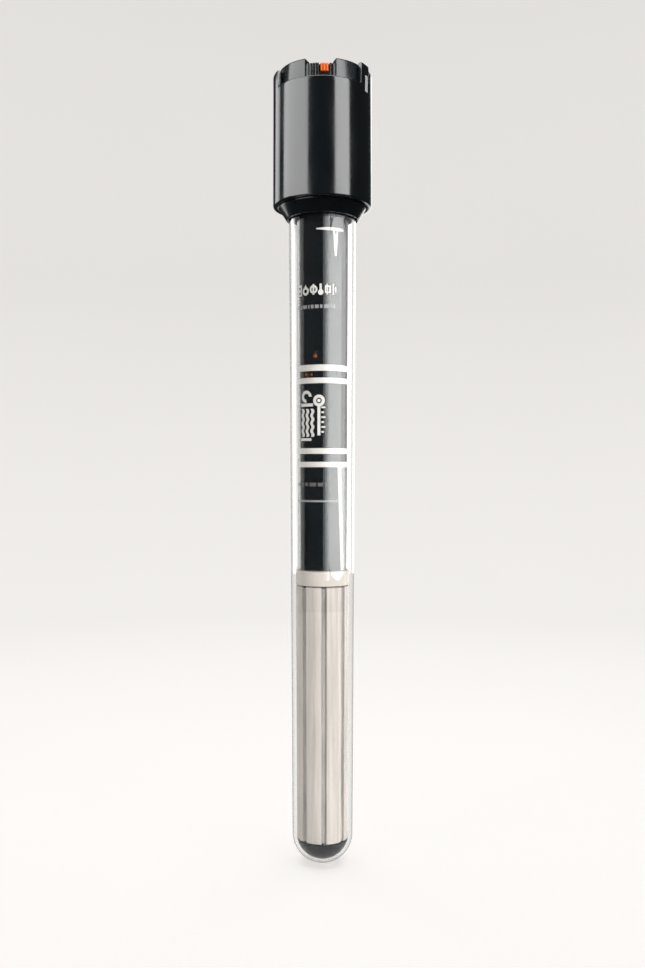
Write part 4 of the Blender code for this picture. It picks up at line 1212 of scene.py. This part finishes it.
def paint_hidden_pieces():
    steel_and_brass = [
        (metal("turned_brass", (0.72, 0.50, 0.20), 0.28),
         ["spindle_bush", "dial_spindle", "adjuster_nut", "bimetal_post", "bimetal_rivet",
          "live_terminal", "neutral_terminal", "coil_crimp_live", "coil_crimp_neutral"]),
        (metal("plated_steel", (0.58, 0.58, 0.60), 0.28),
         ["dial_screw", "spindle_circlip", "friction_washer", "lever_pin", "lever_bracket",
          "set_lever", "bimetal_strip", "armature_plate"]),
    ]
    others = [
        (metal("contact_silver", (0.86, 0.86, 0.84), 0.22), ["fixed_contact", "moving_contact"]),
        (metal("ferrite", (0.10, 0.10, 0.11), 0.5, (1.0, 1.0, 1.0)), ["snap_magnet"]),
        (rubber("seal_rubber"), ["tube_o_ring", "seal_bung", "spindle_o_ring"]),
        (satin_plastic("guide_cream", (0.74, 0.70, 0.60)), ["adjuster_guide"]),
        (satin_plastic("capacitor_red", (0.52, 0.09, 0.03), 0.3), ["suppression_capacitor"]),
        (laminate("board_laminate"), ["circuit_board"]),
        (neon_glass("neon_glow"), ["neon_lamp"]),
        (resistor_body("resistor_bands"), ["neon_resistor"]),
        (insulation("lead_brown", (0.20, 0.07, 0.03)), ["live_lead"]),
        (insulation("lead_blue", (0.03, 0.10, 0.40)), ["neutral_lead"]),
        (insulation("feed_red", (0.32, 0.05, 0.03)), ["feed_wire_live"]),
        (insulation("feed_blue", (0.04, 0.12, 0.42)), ["feed_wire_neutral"]),
        (mica("mica_sheet"), ["mica_disc"]),
    ]
    for finish, names in steel_and_brass + others:
        paint_cad(names, finish)


# ---- studio ---------------------------------------------------------------

def backdrop():
    """A round pale floor that curves up into a wall on all sides."""
    wall_r, bend, height = 900.0, 350.0, 1900.0
    floor_z = TUBE_BOTTOM
    curve = [(0.0, floor_z), (wall_r - bend, floor_z)]
    curve += [(wall_r - bend + bend * sin(t), floor_z + bend * (1 - cos(t)))
              for t in np.linspace(0.0, pi / 2, 25)[1:]]
    curve.append((wall_r, floor_z + height))
    mesh = lathe_mesh(curve, 96, False, 180.0)
    mesh.flip_normals()
    mesh.materials.append(backdrop_paint("backdrop_paint"))
    mesh.materials.append(backdrop_paint("front_wall_paint", only_straight=True))
    for face in mesh.polygons:
        in_front = face.center.y < 0.0 and face.center.z > (floor_z + 1.0) * MM
        face.material_index = int(in_front)
    made = bpy.data.objects.new("backdrop", mesh)
    made.visible_glossy = False     # keeps the pale room out of the black plastic
    made.visible_diffuse = False    # and its bounced light off the heater
    bpy.context.scene.collection.objects.link(made)


def studio():
    """Softboxes that light the heater only, a top light for both, and a light for the room."""
    world = bpy.data.worlds.new("studio")
    world.use_nodes = True
    background = world.node_tree.nodes["Background"]
    background.inputs["Color"].default_value = (0.9, 0.95, 1.0, 1.0)
    background.inputs["Strength"].default_value = WORLD_LEVEL
    bpy.context.scene.world = world
    bpy.context.scene.view_settings.view_transform = "Standard"
    for light in (softbox("left_high", -66.0, 400.0, 780.0, 600.0, 3.7),
                  softbox("left_low", -48.0, -20.0, 500.0, 280.0, 1.5),
                  softbox("right_high", 46.0, 350.0, 380.0, 560.0, 4.8)):
        keep_off(light, "glass_tube_look", "backdrop")
    low_lights = [softbox("right_low", 58.0, 20.0, 750.0, 330.0, 3.8)]
    for i, share in enumerate((0.15, 0.4, 0.75)):
        low_lights.append(softbox("right_low_edge", 6.0 + 8.0 * i, 20.0, 84.0, 330.0, 3.8 * share))
    for light in low_lights:
        keep_off(light, "cap_shell_look", "clamp_ring_look", "backdrop")
    softbox("top_softbox", 180.0, 650.0, 600.0, 600.0, 2.2, 60.0, -50.0)
    for azimuth in (165.0, 232.0):
        keep_off(softbox("back_softbox", azimuth, 90.0, 240.0, 460.0, 1.6), "backdrop")
    light_room()


def light_room():
    """One wide light over the room, which reaches the floor and the wall only."""
    side = 1500.0
    light = softbox("room_light", 0.0, ROOM_LIGHT_HEIGHT, side, side, ROOM_LIGHT, 0.0, 0.0)
    group = bpy.data.collections.new("room_only")
    group.objects.link(bpy.data.objects["backdrop"])
    light.light_linking.receiver_collection = group


def keep_off(light, *names):
    """Leave some objects out of what a light reaches."""
    group = bpy.data.collections.new("kept_off")
    for name in names:
        group.objects.link(bpy.data.objects[name])
    light.light_linking.receiver_collection = group
    for member in group.collection_objects:
        member.light_linking.link_state = "EXCLUDE"


cap_shell()
# painted highlight on the index post
post_mark()
clamp_ring()
cord_gland()
cord_grommet()
temperature_dial()
dial_pointer()
dial_cover()
dial_numbers()
glass_tube()
label_sleeve()
sleeve_print()
neon_glows()
ceramic_ring()
ceramic_core()
heating_coil()
groove_cement()
rubber_cushion()
paint_hidden_pieces()
backdrop()
studio()
